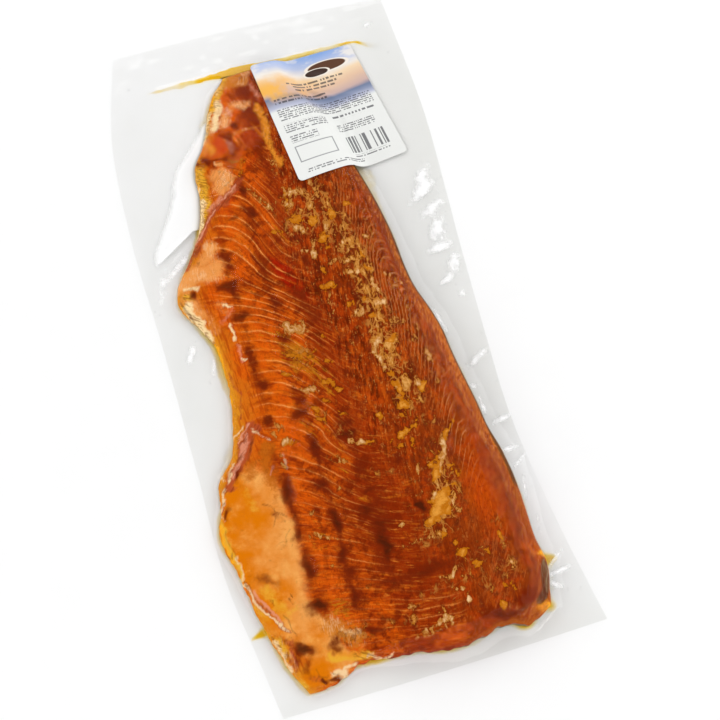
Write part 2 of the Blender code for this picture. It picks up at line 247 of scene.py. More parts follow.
# What is painted on the flesh, as the bell shapes of bumps: (x, y, long radius, short radius, turn,
# strength). Warmer and lighter where positive, darker and redder where negative.
TONE = (
    (-45, 20, 70, 16, 90, 0.3), (-45, -70, 60, 15, 90, 0.2), (-42, 80, 22, 10, 60, 0.35),
    (-20, -205, 30, 14, 0, 0.15), (60, -145, 36, 11, 88, 0.45), (18, -221, 16, 6, 5, 0.8),
    (-47, 150, 12, 6, 60, 0.6), (-50, -20, 30, 8, 90, 0.2), (18, -180, 26, 9, 0, -0.6),
    (-22, -145, 26, 12, 90, -0.3), (70, -70, 50, 9, 98, 0.3), (60, 50, 40, 8, 98, -0.3),
    (-8, 160, 30, 10, 90, -0.6), (2, 110, 16, 12, 90, -0.2), (-25, 65, 22, 6, 110, -0.45),
    (45, -216, 22, 6, 5, -0.8), (0, 35, 14, 8, 90, -0.35), (-10, -25, 14, 10, 90, -0.25),
    (66, -215, 10, 7, 60, -0.6), (40, 60, 30, 8, 90, -0.12), (-4, -85, 14, 10, 90, -0.25),
    (-8, 185, 12, 7, 0, -0.5), (6, -118, 20, 14, 0, 0.12), (30, 95, 22, 8, 0, -0.25),
    (76, -180, 20, 5, 90, -0.3), (-30, 40, 16, 5, 95, -0.35), (-26, -80, 20, 8, 120, 0.3),
    (12, -140, 14, 6, 90, -0.25), (69, -30, 14, 7, 95, 0.4), (81, -100, 14, 5, 92, 0.4),
    (-6, -112, 26, 14, 90, -0.35), (20, -150, 30, 14, 90, -0.35), (-10, 10, 20, 12, 110, -0.3),
    (50, -205, 20, 8, 0, 0.1), (-4, 8, 18, 11, 90, -0.4), (-6, -150, 26, 14, 90, -0.4),
    (6, -52, 20, 12, 90, 0.3))
# Smooth pale belly flap.
FLAP = (
    (-82, -137, 42, 20, 90, 1.6), (-70, -190, 30, 9, 122, 1.3), (-77, -112, 20, 10, 66, 0.8),
    (-64, -204, 18, 8, 120, 0.9), (-68, -222, 11, 6, 0, 1.2), (-57, -216, 10, 4, -10, 0.7))
# The marks that the rack and the smoke have burnt in.
SMOKE = (
    (-53, 59, 8, 2.2, 95, 0.8), (-59, 41.5, 6, 2.3, -14, 1.1), (-54, 35, 5, 1.8, 85, 0.8),
    (-55, 17, 6.5, 2.8, -8, 1.05), (-55.5, -10, 7, 2.2, 92, 0.9), (-55, -22, 4, 2, 90, 0.5),
    (-53.5, -33, 4.4, 2.8, -10, 1), (-56, -59.5, 3.2, 2.8, 0, 1), (-57, -108, 9, 2.7, 88, 1.2),
    (-58, -136, 4, 2, 80, 0.9), (-57, -125, 6, 1.8, 90, 0.5), (-57, -158, 8, 2.9, 88, 1.2),
    (-58, -182, 7, 3.8, -15, 1), (-56, -183, 2.6, 1.8, -10, 0.8), (-30.5, 18, 5, 2.4, -70, 0.9),
    (-31, 44, 11, 2.4, 95, 0.6), (-32, -9, 5, 3, -40, 0.7), (-31, -23, 6, 2.4, -40, 0.5),
    (-36.5, -61, 5, 2.6, -22, 1.1), (-33, -53, 3.4, 2.2, 0, 0.8), (-33, -84, 4.4, 2.5, 90, 1),
    (-33, -94, 6, 2, 88, 0.7), (-35, -111, 4.6, 2.2, -12, 1.1), (-34, -130, 3, 2.4, 0, 0.7),
    (-33, -138, 6, 2.7, 92, 1.3), (-35, -157, 5, 2.6, 70, 1), (-33, -168, 4.4, 2.6, 0, 0.8),
    (-34, -184, 8, 2.3, 95, 0.9), (-29, -207, 5.4, 2.4, -8, 1.1), (-10, -86, 5, 2.4, -10, 1.1),
    (-10, -76.5, 5.4, 2.2, -10, 0.9), (-9, -109, 4, 3, 0, 0.6), (-8, -123.5, 5, 2, -10, 0.9),
    (-14, -135, 5.4, 2.6, -15, 1.1), (-8, -154, 6, 2.8, 75, 1), (-8, -164, 7, 2.5, 80, 1.1),
    (-13, -183, 9, 2, -12, 0.7), (-8, -146, 5, 1.8, -10, 0.7), (15, -111, 3.6, 2.6, 0, 0.8),
    (19.5, -142.5, 3.2, 1.6, -55, 2), (17, -139.5, 1.6, 1.4, 0, 1.2), (18, -182, 9, 3.6, 0, 0.7),
    (4, -182, 8, 3, 0, 0.6), (-29, 107, 4, 2.4, -50, 1.1), (-29, 88, 6, 2.2, -48, 0.9),
    (-41, 88, 4, 1.8, -20, 0.7), (-21, 158, 2.4, 3, 0, 1.1), (-28, 150, 4, 2, 80, 0.7),
    (-27, 138, 7, 2.6, 88, 0.5), (-49, 136, 4, 2.6, 80, 0.9), (-44, 130, 2, 2, 0, 0.7),
    (-55, 139, 3, 1.2, 110, 0.8), (-81.5, 40.5, 3.2, 1.4, 65, 1.1), (-72, -203.5, 6, 2.2, -35, 1.4),
    (-77, -208, 5, 1.6, 80, 0.6), (-73, -216, 5, 2, 70, 0.6), (-54.5, -206, 3.4, 2, 60, 0.9),
    (-54, -211, 2, 1.4, 0, 0.7), (-85, -158, 7, 2.4, -30, 0.6), (-83, -88, 4, 1.3, 75, 1),
    (-97.5, -109.5, 4, 1.1, 75, 0.9), (-67, -226, 2, 1.2, -40, 1.3), (-60, -227, 3, 1, -10, 1.3),
    (46, -220, 4.4, 2.2, -20, 1.1), (55, -221.5, 4, 2, 0, 1), (37, -216, 3, 2.4, 0, 0.7),
    (-3, 40, 3, 3, 0, 0.8), (30, 39.5, 2, 2.4, 0, 0.7), (30, -50, 3, 2.2, 0, 0.7),
    (40, -128, 4, 1.6, 120, 0.7), (33, -104, 5, 2, 20, 0.4), (-68, -120, 3, 1.2, -45, 0.7),
    (-60, -86, 8, 1.6, 80, 0.5), (-20, 64, 6, 2, -55, 0.5), (31, -184, 5, 2.6, 0, 0.5),
    (62, -215, 5, 3, 0, 0.5))
SMOKE_LONG, SMOKE_WIDE = 1.2, 1.35      # how much further the smoke has spread round them
# Pale tan juices, set in flecks and nets. The flecks on the bulge at the head cut, near (-50, -70) and near
# (-7, -92) are painted glints.
CURD = (
    (0, 93, 8, 3.6, -20, 0.8), (-5, 86, 5, 2, -30, 0.8), (5, 92, 2.6, 2.2, 60, 0.9),
    (-1, 84, 5, 2.4, 80, 0.6), (0, 62, 7, 3.2, -10, 0.9), (-4, 66, 4, 2.6, 0, 0.7),
    (16.5, 60, 4.6, 1.6, 80, 0.8), (4, 41.5, 2.8, 2, 60, 0.9), (0, 44.5, 4, 1.4, -30, 0.9),
    (5, 49, 4, 1, 75, 0.7), (27, 48, 4, 1.5, 70, 0.9), (23.5, 42, 5, 1.8, 100, 0.9),
    (26.5, 38, 4.8, 1.4, 60, 0.9), (22, 31, 2.6, 1.5, 0, 0.8), (13, 33, 4, 2.2, 0, 0.6),
    (19, 41, 6, 1.1, 80, 0.6), (33, 47, 5, 1.1, 80, 0.7), (41, 46, 3, 1.6, 30, 0.6),
    (24, 22, 4.2, 1.8, -10, 1), (28.5, 21, 3, 1.8, 60, 0.9), (34.5, 13, 2.8, 1.3, 80, 0.9),
    (36, 4, 7, 2.4, 95, 0.9), (34.5, -5, 4, 2.2, 0, 0.9), (27, -3, 8, 1.6, 88, 0.9), (20, -8, 4, 2.6, 0, 0.5),
    (38, -17, 5, 2.2, -30, 1.2), (45, -21, 2.6, 1.8, 0, 0.9), (25, -22, 2.4, 2.2, 0, 0.9),
    (32, -22, 6, 1.4, -30, 0.8), (25, -33, 6, 1.8, 60, 0.8), (34, -28, 2, 1.6, 0, 1.1),
    (28, -30, 4, 1.8, 30, 0.8), (24, -44, 7, 1.5, 100, 0.9), (29, -44, 3, 1.5, 20, 0.7),
    (25, -52, 5, 1.8, 110, 0.8), (-23, -3, 8, 4, -25, 1), (-28, 0.5, 3, 2, 0, 0.8),
    (-25, -47, 5, 2.6, -30, 1.2), (-23, -22, 3, 1.5, 20, 0.7), (8.5, -27, 2.4, 2, 60, 0.9),
    (8, -32, 3, 2, 0, 0.8), (1, -34.5, 2, 1.2, 0, 0.7), (3.5, -1, 2.2, 1.3, 110, 0.9),
    (5, 8, 4, 0.9, 75, 0.7), (54, 7, 2, 1.5, 0, 1.1), (53, -8, 4, 1.3, 80, 0.7),
    (46, 15.5, 2.6, 1.5, -40, 0.8), (50, -34, 3, 1.8, 40, 0.7), (55, -48, 5, 1.5, 110, 0.8),
    (42.5, -66, 4, 2, 80, 1.1), (57, -68, 3, 1.3, -60, 0.8), (46, -90, 3.4, 1.3, 70, 0.8),
    # (-9, -90.5) and (-4.5, -93.5) are painted glints
    (-9, -90.5, 2.4, 1.5, -40, 1.2), (-4.5, -93.5, 2.8, 1.5, -25, 1.3), (44.5, -112.5, 7.4, 2.1, 76, 1.4),
    (41, -121, 3, 1.5, 60, 0.9), (34.5, -134, 5, 1.8, 55, 1.1), (30, -139, 3, 1, 60, 0.8),
    (39, -147, 3, 2.2, 60, 0.9), (41.5, -151.5, 2, 1.3, -50, 0.9), (12.5, -163, 5, 0.9, 0, 0.9),
    (20, -163, 3, 1.1, 0, 0.7), (3, -165, 2, 1, -40, 0.9), (5, -150, 2.6, 1.2, 0, 0.9),
    (21, -127, 1.8, 1, -20, 1), (26, -119, 4, 1, 65, 0.7), (22, -136, 2, 1.3, 60, 0.7),
    (28, -187, 4, 1.5, 60, 0.9), (23, -190, 5, 1.3, -10, 0.7), (-2.5, -200.5, 3, 1.5, -20, 1),
    (30.5, -205.5, 1.5, 1, -50, 1.4), (28, -198, 6, 1.1, -8, 0.6), (64, -192, 2.6, 1.2, 0, 0.7),
    (48, -178, 2, 1, 0, 0.9), (-24.5, -180, 1.6, 1.4, 0, 0.9), (-43, -162, 1.5, 1.4, 0, 0.8),
    # (14, -213), (5, -216), (9, -218), (-50, -66) and (-49, -76) are painted glints
    (-36, -145, 1.6, 1.5, 0, 0.8), (-25.5, -117, 1.5, 1.2, 0, 0.9), (14, -213, 4, 1.8, 10, 1.1),
    (5, -216, 8, 1.1, 8, 1.1), (9, -218, 8, 1, 5, 0.9), (-50, -66, 4, 1.4, -60, 0.8),
    (-49, -76, 2.6, 1.8, 0, 1.2), (-57, -66, 6, 1.3, -50, 0.6), (-54, -88, 6, 1.2, 95, 0.9),
    (-46, -142, 6, 2.2, -30, 0.8), (-45, -126, 3, 1.4, 20, 0.7), (-22, -98, 7, 1.5, -35, 0.7),
    (15, 85, 9, 5, 80, 0.45), (16, 97, 8, 2, 70, 0.4), (-20, 95, 14, 2, -62, 0.5), (28, 62, 9, 2, 70, 0.35),
    (35, -76, 8, 3, 70, 0.3), (-4, 118, 10, 4, 90, 0.3), (54, -30, 20, 2, 96, 0.4))
# Fat set in flat ochre patches.
FAT = (
    (12.5, 51.5, 4.2, 3.6, 90, 1.2), (14, 45.5, 2.6, 1.6, 80, 0.9), (5, 16.5, 4.6, 2.8, 10, 1.1),
    (8.5, 18, 2.2, 2.2, 0, 0.8), (29, -54.5, 3.2, 2.2, 0, 1.2), (27, -60, 3, 1.6, 100, 0.8),
    (30, -67, 4.6, 1.9, 92, 1.2), (29.5, -78, 5, 4.6, 90, 1.3), (44, -69, 4, 3.2, 60, 1.1),
    (24, -95, 8, 1.9, 20, 1.1), (33, -90.5, 3.4, 1.4, 55, 0.8), (27, -103, 4, 2.6, 90, 1),
    (18, -103, 5, 1.3, 0, 0.7), (2.5, -94.5, 4, 1.6, -12, 1.1), (49, -103, 5, 2, 60, 1),
    (54, -98, 5, 0.9, 35, 0.8), (38, -121, 8, 3.2, 60, 1), (47, -126, 5, 2.2, 110, 0.9),
    (35, -127, 4, 2, 70, 0.8), (36, -140, 8, 4, 20, 1.2), (30, -147, 8, 3.8, 50, 1.3),
    (22.5, -153, 4.6, 2, 10, 1.2), (33, -150.5, 4, 2, -10, 0.9), (12, -80, 4, 2, 95, 0.9),
    (33, -120, 3.4, 2.2, 40, 0.8), (-9, -70, 4, 1.3, -28, 0.9), (23, 70, 3.6, 2.8, 90, 0.9),
    (20.5, 65, 3.4, 1.3, 75, 0.8), (35.5, 73.5, 2.6, 1.8, 0, 1), (-2, 71, 5, 3.2, -30, 1),
    (9.5, 66.5, 3.6, 2.8, 60, 1), (-16, 66.5, 3.6, 2, -20, 0.8), (-3, 88, 8, 1.5, 80, 0.9),
    (-8, 91, 3, 1.5, 20, 0.7), (34.5, -171, 3, 2, 0, 0.8), (36, -177, 3.4, 2.2, 10, 1),
    (43.5, -187, 3.4, 2.4, 0, 0.9), (52, -181, 4, 2, 90, 0.7), (62, -173, 4, 1.4, 90, 0.7),
    (28, -165, 2.2, 1.8, 0, 0.8), (58, -205, 4, 1.6, -25, 0.8), (50, -215, 3, 2, 60, 0.7),
    (7, 29, 3.4, 1.1, 85, 1), (-17, -25, 3.6, 2.2, 0, 0.9), (-20, -31.5, 3.6, 1.2, 0, 0.8),
    (-30, -20, 6, 1.6, -42, 0.9), (-10, -33, 4, 1.2, -30, 0.7), (-12, -48, 5, 2, -40, 1),
    (-8, -53, 3, 1.6, -20, 0.9), (-26, -61, 4, 1.6, -45, 0.7), (-23, -69, 5, 2, -50, 1),
    (35, 22, 3, 2.2, 90, 0.8), (34, 34, 4, 1.3, 90, 0.8), (27, 1, 3, 1.6, 90, 0.9),
    (28, -12, 2.4, 1.4, 0, 0.8), (16, 0, 3, 2.2, 20, 0.9), (34, -32.5, 5, 1.7, 25, 1.1),
    (-45, -78, 5, 1.8, 0, 0.6), (-28, 119, 3.4, 1.6, 80, 0.9), (-24, 127.5, 2.4, 2, 0, 0.9),
    (-16, -60, 5, 1.6, -35, 0.7), (-33, -4, 6, 1.2, -45, 0.6), (-8, -15, 4, 1.2, -40, 0.6),
    (-36, -32, 5, 1.4, -42, 0.6))
# Where the set juices make a fine lace, and where the flakes show as crisp lines.
LACE = (
    (30, -15, 44, 9, 88, 1), (26, 38, 26, 10, 96, 0.7), (4, 76, 20, 11, 40, 0.6), (36, -72, 22, 10, 85, 0.6),
    (38, -130, 28, 10, 75, 0.7), (40, -190, 26, 16, 0, 0.5), (-20, -22, 30, 7, 118, 0.4),
    (-14, -70, 22, 9, 105, 0.35), (0, -205, 20, 8, 0, 0.35), (-26, -208, 18, 7, 0, 0.35),
    (50, 10, 50, 4, 97, 0.4), (24, -160, 20, 9, 30, 0.5), (14, 66, 22, 14, 20, 0.45),
    (20, 92, 14, 8, 90, 0.4), (32, 0, 60, 5, 92, 0.5), (38, -142, 14, 9, 60, 0.4),
    (-46, -205, 14, 6, 10, 0.4), (64, -180, 30, 6, 92, 0.3), (5, -118, 20, 8, 0, 0.25))
RULED = (
    (-36, 48, 52, 22, 100, 1), (-36, 100, 26, 14, 120, 0.6), (-38, -25, 40, 20, 95, 0.7),
    (44, 20, 74, 10, 96, 1), (-32, -95, 46, 20, 92, 0.35), (-28, -165, 40, 20, 90, 0.2),
    (58, -110, 40, 8, 92, 0.6), (20, -205, 50, 10, 0, 0.3))
# Olive-yellow fat between the flakes.
OLIVE = (
    (-22, -30, 30, 9, 112, 1), (-30, -66, 18, 8, 105, 0.7), (-20, -98, 22, 8, 95, 0.5),
    (-40, -6, 20, 6, 120, 0.5), (-16, 66, 14, 6, 120, 0.6), (-46, -142, 18, 6, 95, 0.5),
    (-40, -204, 18, 6, 0, 0.6), (-48, -188, 14, 8, 0, 0.9), (-12, -130, 22, 8, 90, 0.3))
# Grey-brown skin that is turned up at the corner of the head cut.
BARE = ((82, -205, 10, 2.8, 74, 1.7), (60, -221, 10, 2.4, 10, 0.5), (75, -217, 5, 2.6, 40, 1))
# Places that look raw, deep red.
RAW = (
    (-17, 31, 21, 5.5, -68, 1.35), (-2, 73, 1.8, 1.4, 0, 0.9), (10, 4, 5, 3, 0, 0.45),
    (-52, 96, 6, 2, 45, 0.3), (70, -218, 3, 1.6, -40, 0.9), (2, -104, 6, 4, 0, 0.35))
# Places where the muscle glows orange, as the soft lines of strokes.
EMBER = (
    (5, 0.8, (6, -223), (22, -223)), (5, 0.8, (-47, -99), (-45, -112)), (4.5, 0.7, (-49, -122), (-43, -130)),
    (5, 0.7, (-26, -190), (-16, -200)), (4, 0.7, (-22, -207), (-16, -214)), (4, 0.6, (-20, -98), (-14, -104)),
    (5, 1, (-48, 84), (-42, 76)), (6, 0.9, (-42, 58), (-40, 50)), (6, 0.9, (-66, 34), (-64, 18)),
    (5, 0.9, (-46, 8), (-44, -8)), (5, 0.8, (-64, -6), (-62, -24)), (5, 0.8, (-46, -34), (-44, -46)),
    (5, 0.7, (78, -184), (84, -192)), (5, 0.8, (-46, -62), (-44, -76)), (4, 0.7, (-24, 84), (-16, 70)),
    (4, 0.6, (-24, 8), (-18, -8)))
# Thin wrinkles, drawn as lines of painted shade in their creases.
WRINKLE_SHADES = (
    (0.8, 0.8, (-74, -111), (-69, -115), (-67, -119), (-61, -123)),
    (0.7, 0.5, (-73, -139), (-66, -137), (-62, -131)), (0.7, 0.6, (-72, -129), (-68, -121)),
    (0.9, 0.7, (-70, -219), (-68, -224), (-65, -226)), (0.8, 0.7, (-79, -181), (-76, -196)),
    (0.9, 0.8, (-92, 38), (-84, 20), (-77, 3)), (0.7, 0.7, (-36, 104), (-44, 101)),
    (0.8, 0.6, (-43, 112), (-32, 117)), (1, 0.5, (-85, -193), (-80, -203)),
    (0.9, 0.5, (-66, -82), (-67, -92), (-61, -84)), (0.7, 0.6, (-101, -121), (-99, -140)),
    (1, 0.6, (-78, -84), (-72, -73), (-68, -65)), (1, 0.7, (-43, 134), (-34, 133), (-28, 134)),
    (0.9, 0.5, (-32, 128), (-33, 121)))
# Thin skins, linings, rims of fat and folds, as washes of one colour; rose, cream and pale also hold painted
# highlights and glints on ridges, folds and lips: name, colour, how ragged, how full, strokes.
WASHES = (
    ("plum", "#742408", 1, 0.8, (
        (2.6, 0.22, (-57, -96), (-57, -176)), (2.8, 0.7, (-33, -78), (-34, -192)),
        (2.6, 0.6, (-9, -74), (-9, -188)), (2.2, 0.45, (-54, 64), (-55, -64)),
        (2.2, 0.4, (-31, 50), (-34, -64)), (5, 0.8, (-15, 184), (-4, 181)),
        (2.8, 0.9, (-23, 159), (-21, 154)), (2.6, 0.8, (-34, 154), (-31, 151)),
        (2.4, 0.8, (-30, 148), (-29, 136)), (1.4, 1.1, (-46, 135), (-40, 135), (-34, 133), (-30, 129)),
        (2.8, 1, (-50, 139), (-46, 134)), (5, 0.8, (-15, 163), (-9, 158)), (2.4, 0.6, (-30, 108), (-27, 98)),
        (1.6, 0.8, (-57, 143), (-54, 137)), (3, 0.6, (-28, 86), (-34, 90)), (6, 0.5, (-12, 125), (-8, 112)),
        (6.5, 0.75, (-16, 18), (-8, -2)), (8, 0.7, (-12, -168), (-6, -132)),
        (5, 0.6, (-40, -187), (-30, -182)), (5, 0.5, (8, -182), (24, -178)))),
    ("red", "#c23a08", 0.8, 0.75, (
        (4.5, 1.1, (-37, 150), (-36, 143)), (5, 0.5, (-17, 147), (-10, 144)),
        (3.5, 0.6, (-43, 101), (-34, 107)), (3, 0.5, (-20, 122), (-14, 130)),
        (3, 0.6, (-48, 96), (-42, 92)))),
    ("rust", "#b85e10", 1, 0.85, (
        (5, 1, (-62, -76), (-66, -88), (-63, -98)), (3.5, 0.7, (-72, -84), (-78, -92)),
        (3, 0.5, (-63, -102), (-66, -112)))),
    ("peach", "#e8984e", 0.7, 0.92, (
        (8, 1.2, (-85, 51), (-78, 56), (-64, 56)), (5.5, 0.9, (-68, 64), (-60, 72)),
        (5, 1.1, (-45, 123), (-42, 112)), (4, 1, (-40, 125), (-37, 117)),
        (4, 0.65, (-19, 175), (-14, 173), (-10, 171)), (4.4, 0.8, (-23, 172), (-29, 162)),
        (5.5, 0.8, (-87, 42), (-80, 24)), (4.5, 0.45, (-76, 24), (-72, 12)), (4, 0.4, (-66, 30), (-62, 20)),
        (3, 0.65, (-43, 157), (-47, 146)), (1.6, 1, (-42, 132), (-38, 130)))),
    ("tan", "#c67420", 1, 0.9, (
        (4, 0.5, (-86, -196), (-80, -214)), (6.5, 0.95, (-54, -196), (-42, -207)),
        (6, 1.1, (-15, 201), (-3, 202)), (5, 0.9, (-19, 194), (-7, 193)), (1.2, 0.7, (-24, 151), (-6, 150)))),
    ("gold", "#e2a630", 0.7, 0.95, (
        (5, 1.4, (-21, 201), (-28, 190), (-34, 180)), (2.6, 0.9, (-36, 180), (-41, 170), (-44, 159)),
        (4.2, 1.2, (-56, 132), (-55, 118), (-58, 104), (-62, 94)),
        (2.6, 1.2, (-62, 94), (-69, 82), (-77, 69)), (2.2, 0.9, (-90, 36), (-84, 22), (-79, 8)),
        (1.6, 0.9, (-103, -113), (-103, -125), (-100, -140), (-98, -155)),
        (4, 0.45, (-83, -100), (-80, -112)), (3.4, 0.6, (-94, -172), (-91, -180)),
        (2.6, 0.9, (-88, -194), (-84, -206)), (3.4, 0.6, (-86, -164), (-80, -178)),
        (2.4, 0.9, (-88, 41), (-84, 38)), (3, 0.5, (-84, -176), (-78, -182), (-72, -181)),
        (2.4, 0.8, (-82, -222), (-79, -227)), (2, 0.6, (-96, -184), (-91, -188)),
        (2.2, 1.1, (-58, -214), (-47, -217), (-36, -221)), (2.8, 0.35, (-31, 130), (-27, 126), (-28, 119)))),
    ("honey", "#e08c28", 0.7, 0.9, (
        (2.8, 0.9, (-2, 168), (-3, 152), (-2, 135), (1, 117)), (3, 0.8, (-44, 150), (-42, 143)),
        (3, 0.9, (-54, -212), (-42, -217)), (3.5, 0.9, (73, -221), (80, -224)))),
    ("amber", "#f0a41e", 0.5, 0.95, (
        (1.6, 1.2, (84, -190), (89, -194)), (1.6, 1.1, (78, -222), (83, -223)),
        (1.3, 1.1, (-78, 8), (-75.5, -6), (-75, -25), (-76.5, -40), (-80, -56)),
        (1.2, 0.9, (-66, 92), (-73, 80), (-78, 70)), (1.2, 0.9, (-104, -118), (-104, -128), (-101, -142)),
        (1.4, 1, (-60, 128), (-60, 112)), (2.2, 1.2, (-21, 203), (-30, 190), (-36, 181)))),
    # cream: linings and membranes, and painted glints at the waist of the flap
    ("cream", "#f8dca6", 0.9, 0.9, (
        (3.6, 0.9, (-29, 180), (-33, 171), (-38, 162)), (1.8, 0.9, (-37, 175), (-41, 168), (-46, 154)),
        (3.2, 0.35, (-42, 122), (-41, 116)), (2.6, 1.2, (-88, 34), (-83, 21), (-78, 8)),
        (2.8, 1.3, (-60, 108), (-65, 91), (-76, 73)), (2.2, 0.4, (-24, 196), (-28, 188)),
        (2, 0.8, (-86, 47), (-78, 46)), (1.2, 0.9, (-62, 12), (-63, 2)), (1, 0.8, (-64, 27), (-59, 27)),
        (1, 0.9, (-63, -12), (-59, -13)), (1, 0.8, (-60, 118), (-60, 102)),
        (3, 0.5, (-48, -201), (-40, -205)))),
    ("brick", "#ae4c28", 0.8, 0.9, (
        (2.5, 1.2, (-29, 114), (-40, 107), (-50, 99), (-60, 88), (-70, 76), (-82, 62)),
        (3.2, 1.2, (-66, -59), (-74, -70), (-82, -84), (-92, -94)),
        (1.8, 0.8, (-97, -161), (-91, -173), (-85, -184), (-79, -190)), (2, 0.7, (-81, -198), (-78, -210)),
        (1.2, 0.6, (-71, -20), (-69, -38), (-72, -52)), (1.2, 0.8, (-98, -102), (-101, -109)),
        (3, 0.6, (-74, -223), (-70, -224)), (2, 0.6, (-84, -205), (-79, -215)),
        (2.4, 0.7, (-2, 190), (-1, 173)))),
    # rose: painted highlights along the brick ridges and folds, and a few pink marks of the flesh itself
    ("rose", "#dc9070", 0.9, 0.85, (
        (0.9, 1.1, (-52, 97), (-61, 88), (-70, 77)), (0.7, 0.9, (-34, 112), (-46, 104)),
        (1.2, 1.1, (-71, -65), (-79, -77), (-86, -88)), (0.8, 1, (-68, -58), (-77, -68)),
        (2, 0.9, (-24, 174), (-22, 168)), (1.6, 0.7, (-2, 186), (-1, 174)), (1, 0.8, (-63, -94), (-61, -88)),
        (2.4, 0.6, (-66, 18), (-60, 24)), (1.6, 0.6, (-62, -2), (-63, -14)),
        (2.4, 0.7, (-56, 98), (-46, 106)), (1.1, 0.9, (-93, -163), (-87, -176), (-83, -184)),
        (2.2, 0.6, (-30, 147), (-28, 138)))),
    # pale: lips and linings, partly their own colour and partly painted glints
    ("pale", "#f0cf9e", 1.1, 0.85, (
        (1.6, 1.1, (-97, -86), (-93, -86)),
        (0.9, 1, (-98.5, -157), (-94.5, -167), (-90, -177), (-85, -184), (-79, -190)),
        (1.4, 0.8, (-90, -194), (-87, -205), (-83, -214)), (2.4, 1.1, (-58, -224), (-53, -227)),
        (1.1, 1, (-52, -224), (-44, -222)), (0.9, 0.9, (-37, -221), (-29, -223), (-22, -224)),
        (0.9, 0.9, (-94, -93), (-99, -104), (-103, -110), (-99, -114)), (0.9, 0.7, (-99, -141), (-97, -155)),
        (0.8, 1.1, (86, -197), (83, -206), (80, -214)), (1, 0.8, (-79, -64), (-72, -58)),
        (1, 0.7, (-90, -90), (-84, -80)), (0.8, 0.7, (-67, -62), (-62, -68), (-57, -72)),
        (1.4, 0.6, (-54, -84), (-53, -93)))),
)
x, y, _ = in_plan(fillet)
share, flake, inside = lie_of_fish(x, y)
ragged = (x + grain(x, y, 4, 51) + 0.5 * grain(x, y, 1.7, 52),
          y + grain(x, y, 4, 53) + 0.5 * grain(x, y, 1.7, 54))
wavy = (x + 1.8 * grain(x, y, 7, 55) + grain(x, y, 3, 57) + 0.5 * grain(x, y, 1.5, 59),
        y + 1.8 * grain(x, y, 7, 56) + grain(x, y, 3, 58) + 0.5 * grain(x, y, 1.5, 60))
painted = {
    "share": share, "flake": flake, "rim": inside, "zone": share - 0.1 * smooth_step(-40, -130, y),
    "tone": bumps(TONE, x, y), "flap": bumps(FLAP, x, y), "raw": bumps(RAW, x, y), "bare": bumps(BARE, x, y),
    "lace": bumps(LACE, x, y), "ruled": bumps(RULED, x, y), "olive": bumps(OLIVE, x, y),
    "smoke": bumps([(a, b, SMOKE_LONG * c, SMOKE_WIDE * d, e, f) for a, b, c, d, e, f in SMOKE], *wavy),
    "curd": bumps(CURD, *ragged), "fat": bumps(FAT, *ragged), "ember": strokes(EMBER, *wavy),
    "wrinkle_shade": strokes(WRINKLE_SHADES, x + 1.2 * grain(x, y, 5, 55), y + 1.2 * grain(x, y, 5, 56))}
painted.update({name: strokes(marks, *wavy) for name, _, _, _, marks in WASHES})
mark(fillet, painted)


def srgb(code):
    """'#rrggbb' as it is seen, to the linear colour that a node takes."""
    parts = [int(code[i:i + 2], 16) / 255 for i in (1, 3, 5)]
    return *(c / 12.92 if c <= 0.04045 else ((c + 0.055) / 1.055) ** 2.4 for c in parts), 1.0


def new_material(piece, name):
    """A material on the piece, and its empty tree, which add fills."""
    made = bpy.data.materials.new(name)
    made.use_nodes = True
    made.node_tree.nodes.clear()
    piece.data.materials.append(made)
    return made.node_tree


def add(kind, sockets=(), out=0, **settings):
    """Adds a node to the tree in hand. settings are its own; sockets take values, outputs or '#rrggbb'."""
    node = tree.nodes.new("ShaderNode" + kind)
    for name, value in settings.items():
        setattr(node, name, value)
    for key, value in (sockets if isinstance(sockets, dict) else dict(enumerate(sockets))).items():
        if isinstance(value, bpy.types.NodeSocket):
            tree.links.new(value, node.inputs[key])
        else:
            node.inputs[key].default_value = srgb(value) if isinstance(value, str) else value
    return node.outputs[out] if node.outputs else node


def ramp_to(value, low, high, out_low=0.0, out_high=1.0):
    return add("MapRange", (value, low, high, out_low, out_high), interpolation_type="SMOOTHSTEP")


def times(*values):
    product = values[0]
    for value in values[1:]:
        product = add("Math", (product, value), operation="MULTIPLY")
    return product


def most(*values):
    top = values[0]
    for value in values[1:]:
        top = add("Math", (top, value), operation="MAXIMUM")
    return top


def within(value, start, full, fading, end):
    """1 from full to fading, with a soft fall to 0 at start and end."""
    return times(ramp_to(value, start, full), ramp_to(value, end, fading))


def speckle(on, size, detail=3.0, rough=0.55, stretch=(1, 1), turn=0.0, warp=0.0):
    """Noise around 0.5 whose features are about size mm, stretched and turned; on is a place in mm."""
    laid = add("Mapping", {"Vector": on, "Rotation": (0, 0, math.radians(turn))})
    laid = add("Mapping", {"Vector": laid, "Scale": (*stretch, 1)})
    return add("TexNoise", {
        "Vector": laid, "Scale": 1 / size, "Detail": detail, "Roughness": rough, "Distortion": warp})


def scaled(value, factor, more):
    """value times factor, plus more."""
    return add("Math", (value, factor, more), operation="MULTIPLY_ADD")


def less(value, taken):
    return add("Math", (value, taken), operation="SUBTRACT")


def shifted(value, noise, amount):
    """value, moved up and down by amount times a noise."""
    return scaled(less(noise, 0.5), amount, value)


def paint(base, colour, *amounts):
    """A colour over another, as far as the product of the amounts."""
    return add("Mix", {0: times(*amounts), 6: base, 7: colour}, 2, data_type="RGBA")


def coats(base, *layers):
    """Colours over one another. Each layer is a colour and the amounts that are multiplied for it."""
    for colour, *amounts in layers:
        base = paint(base, colour, *amounts)
    return base


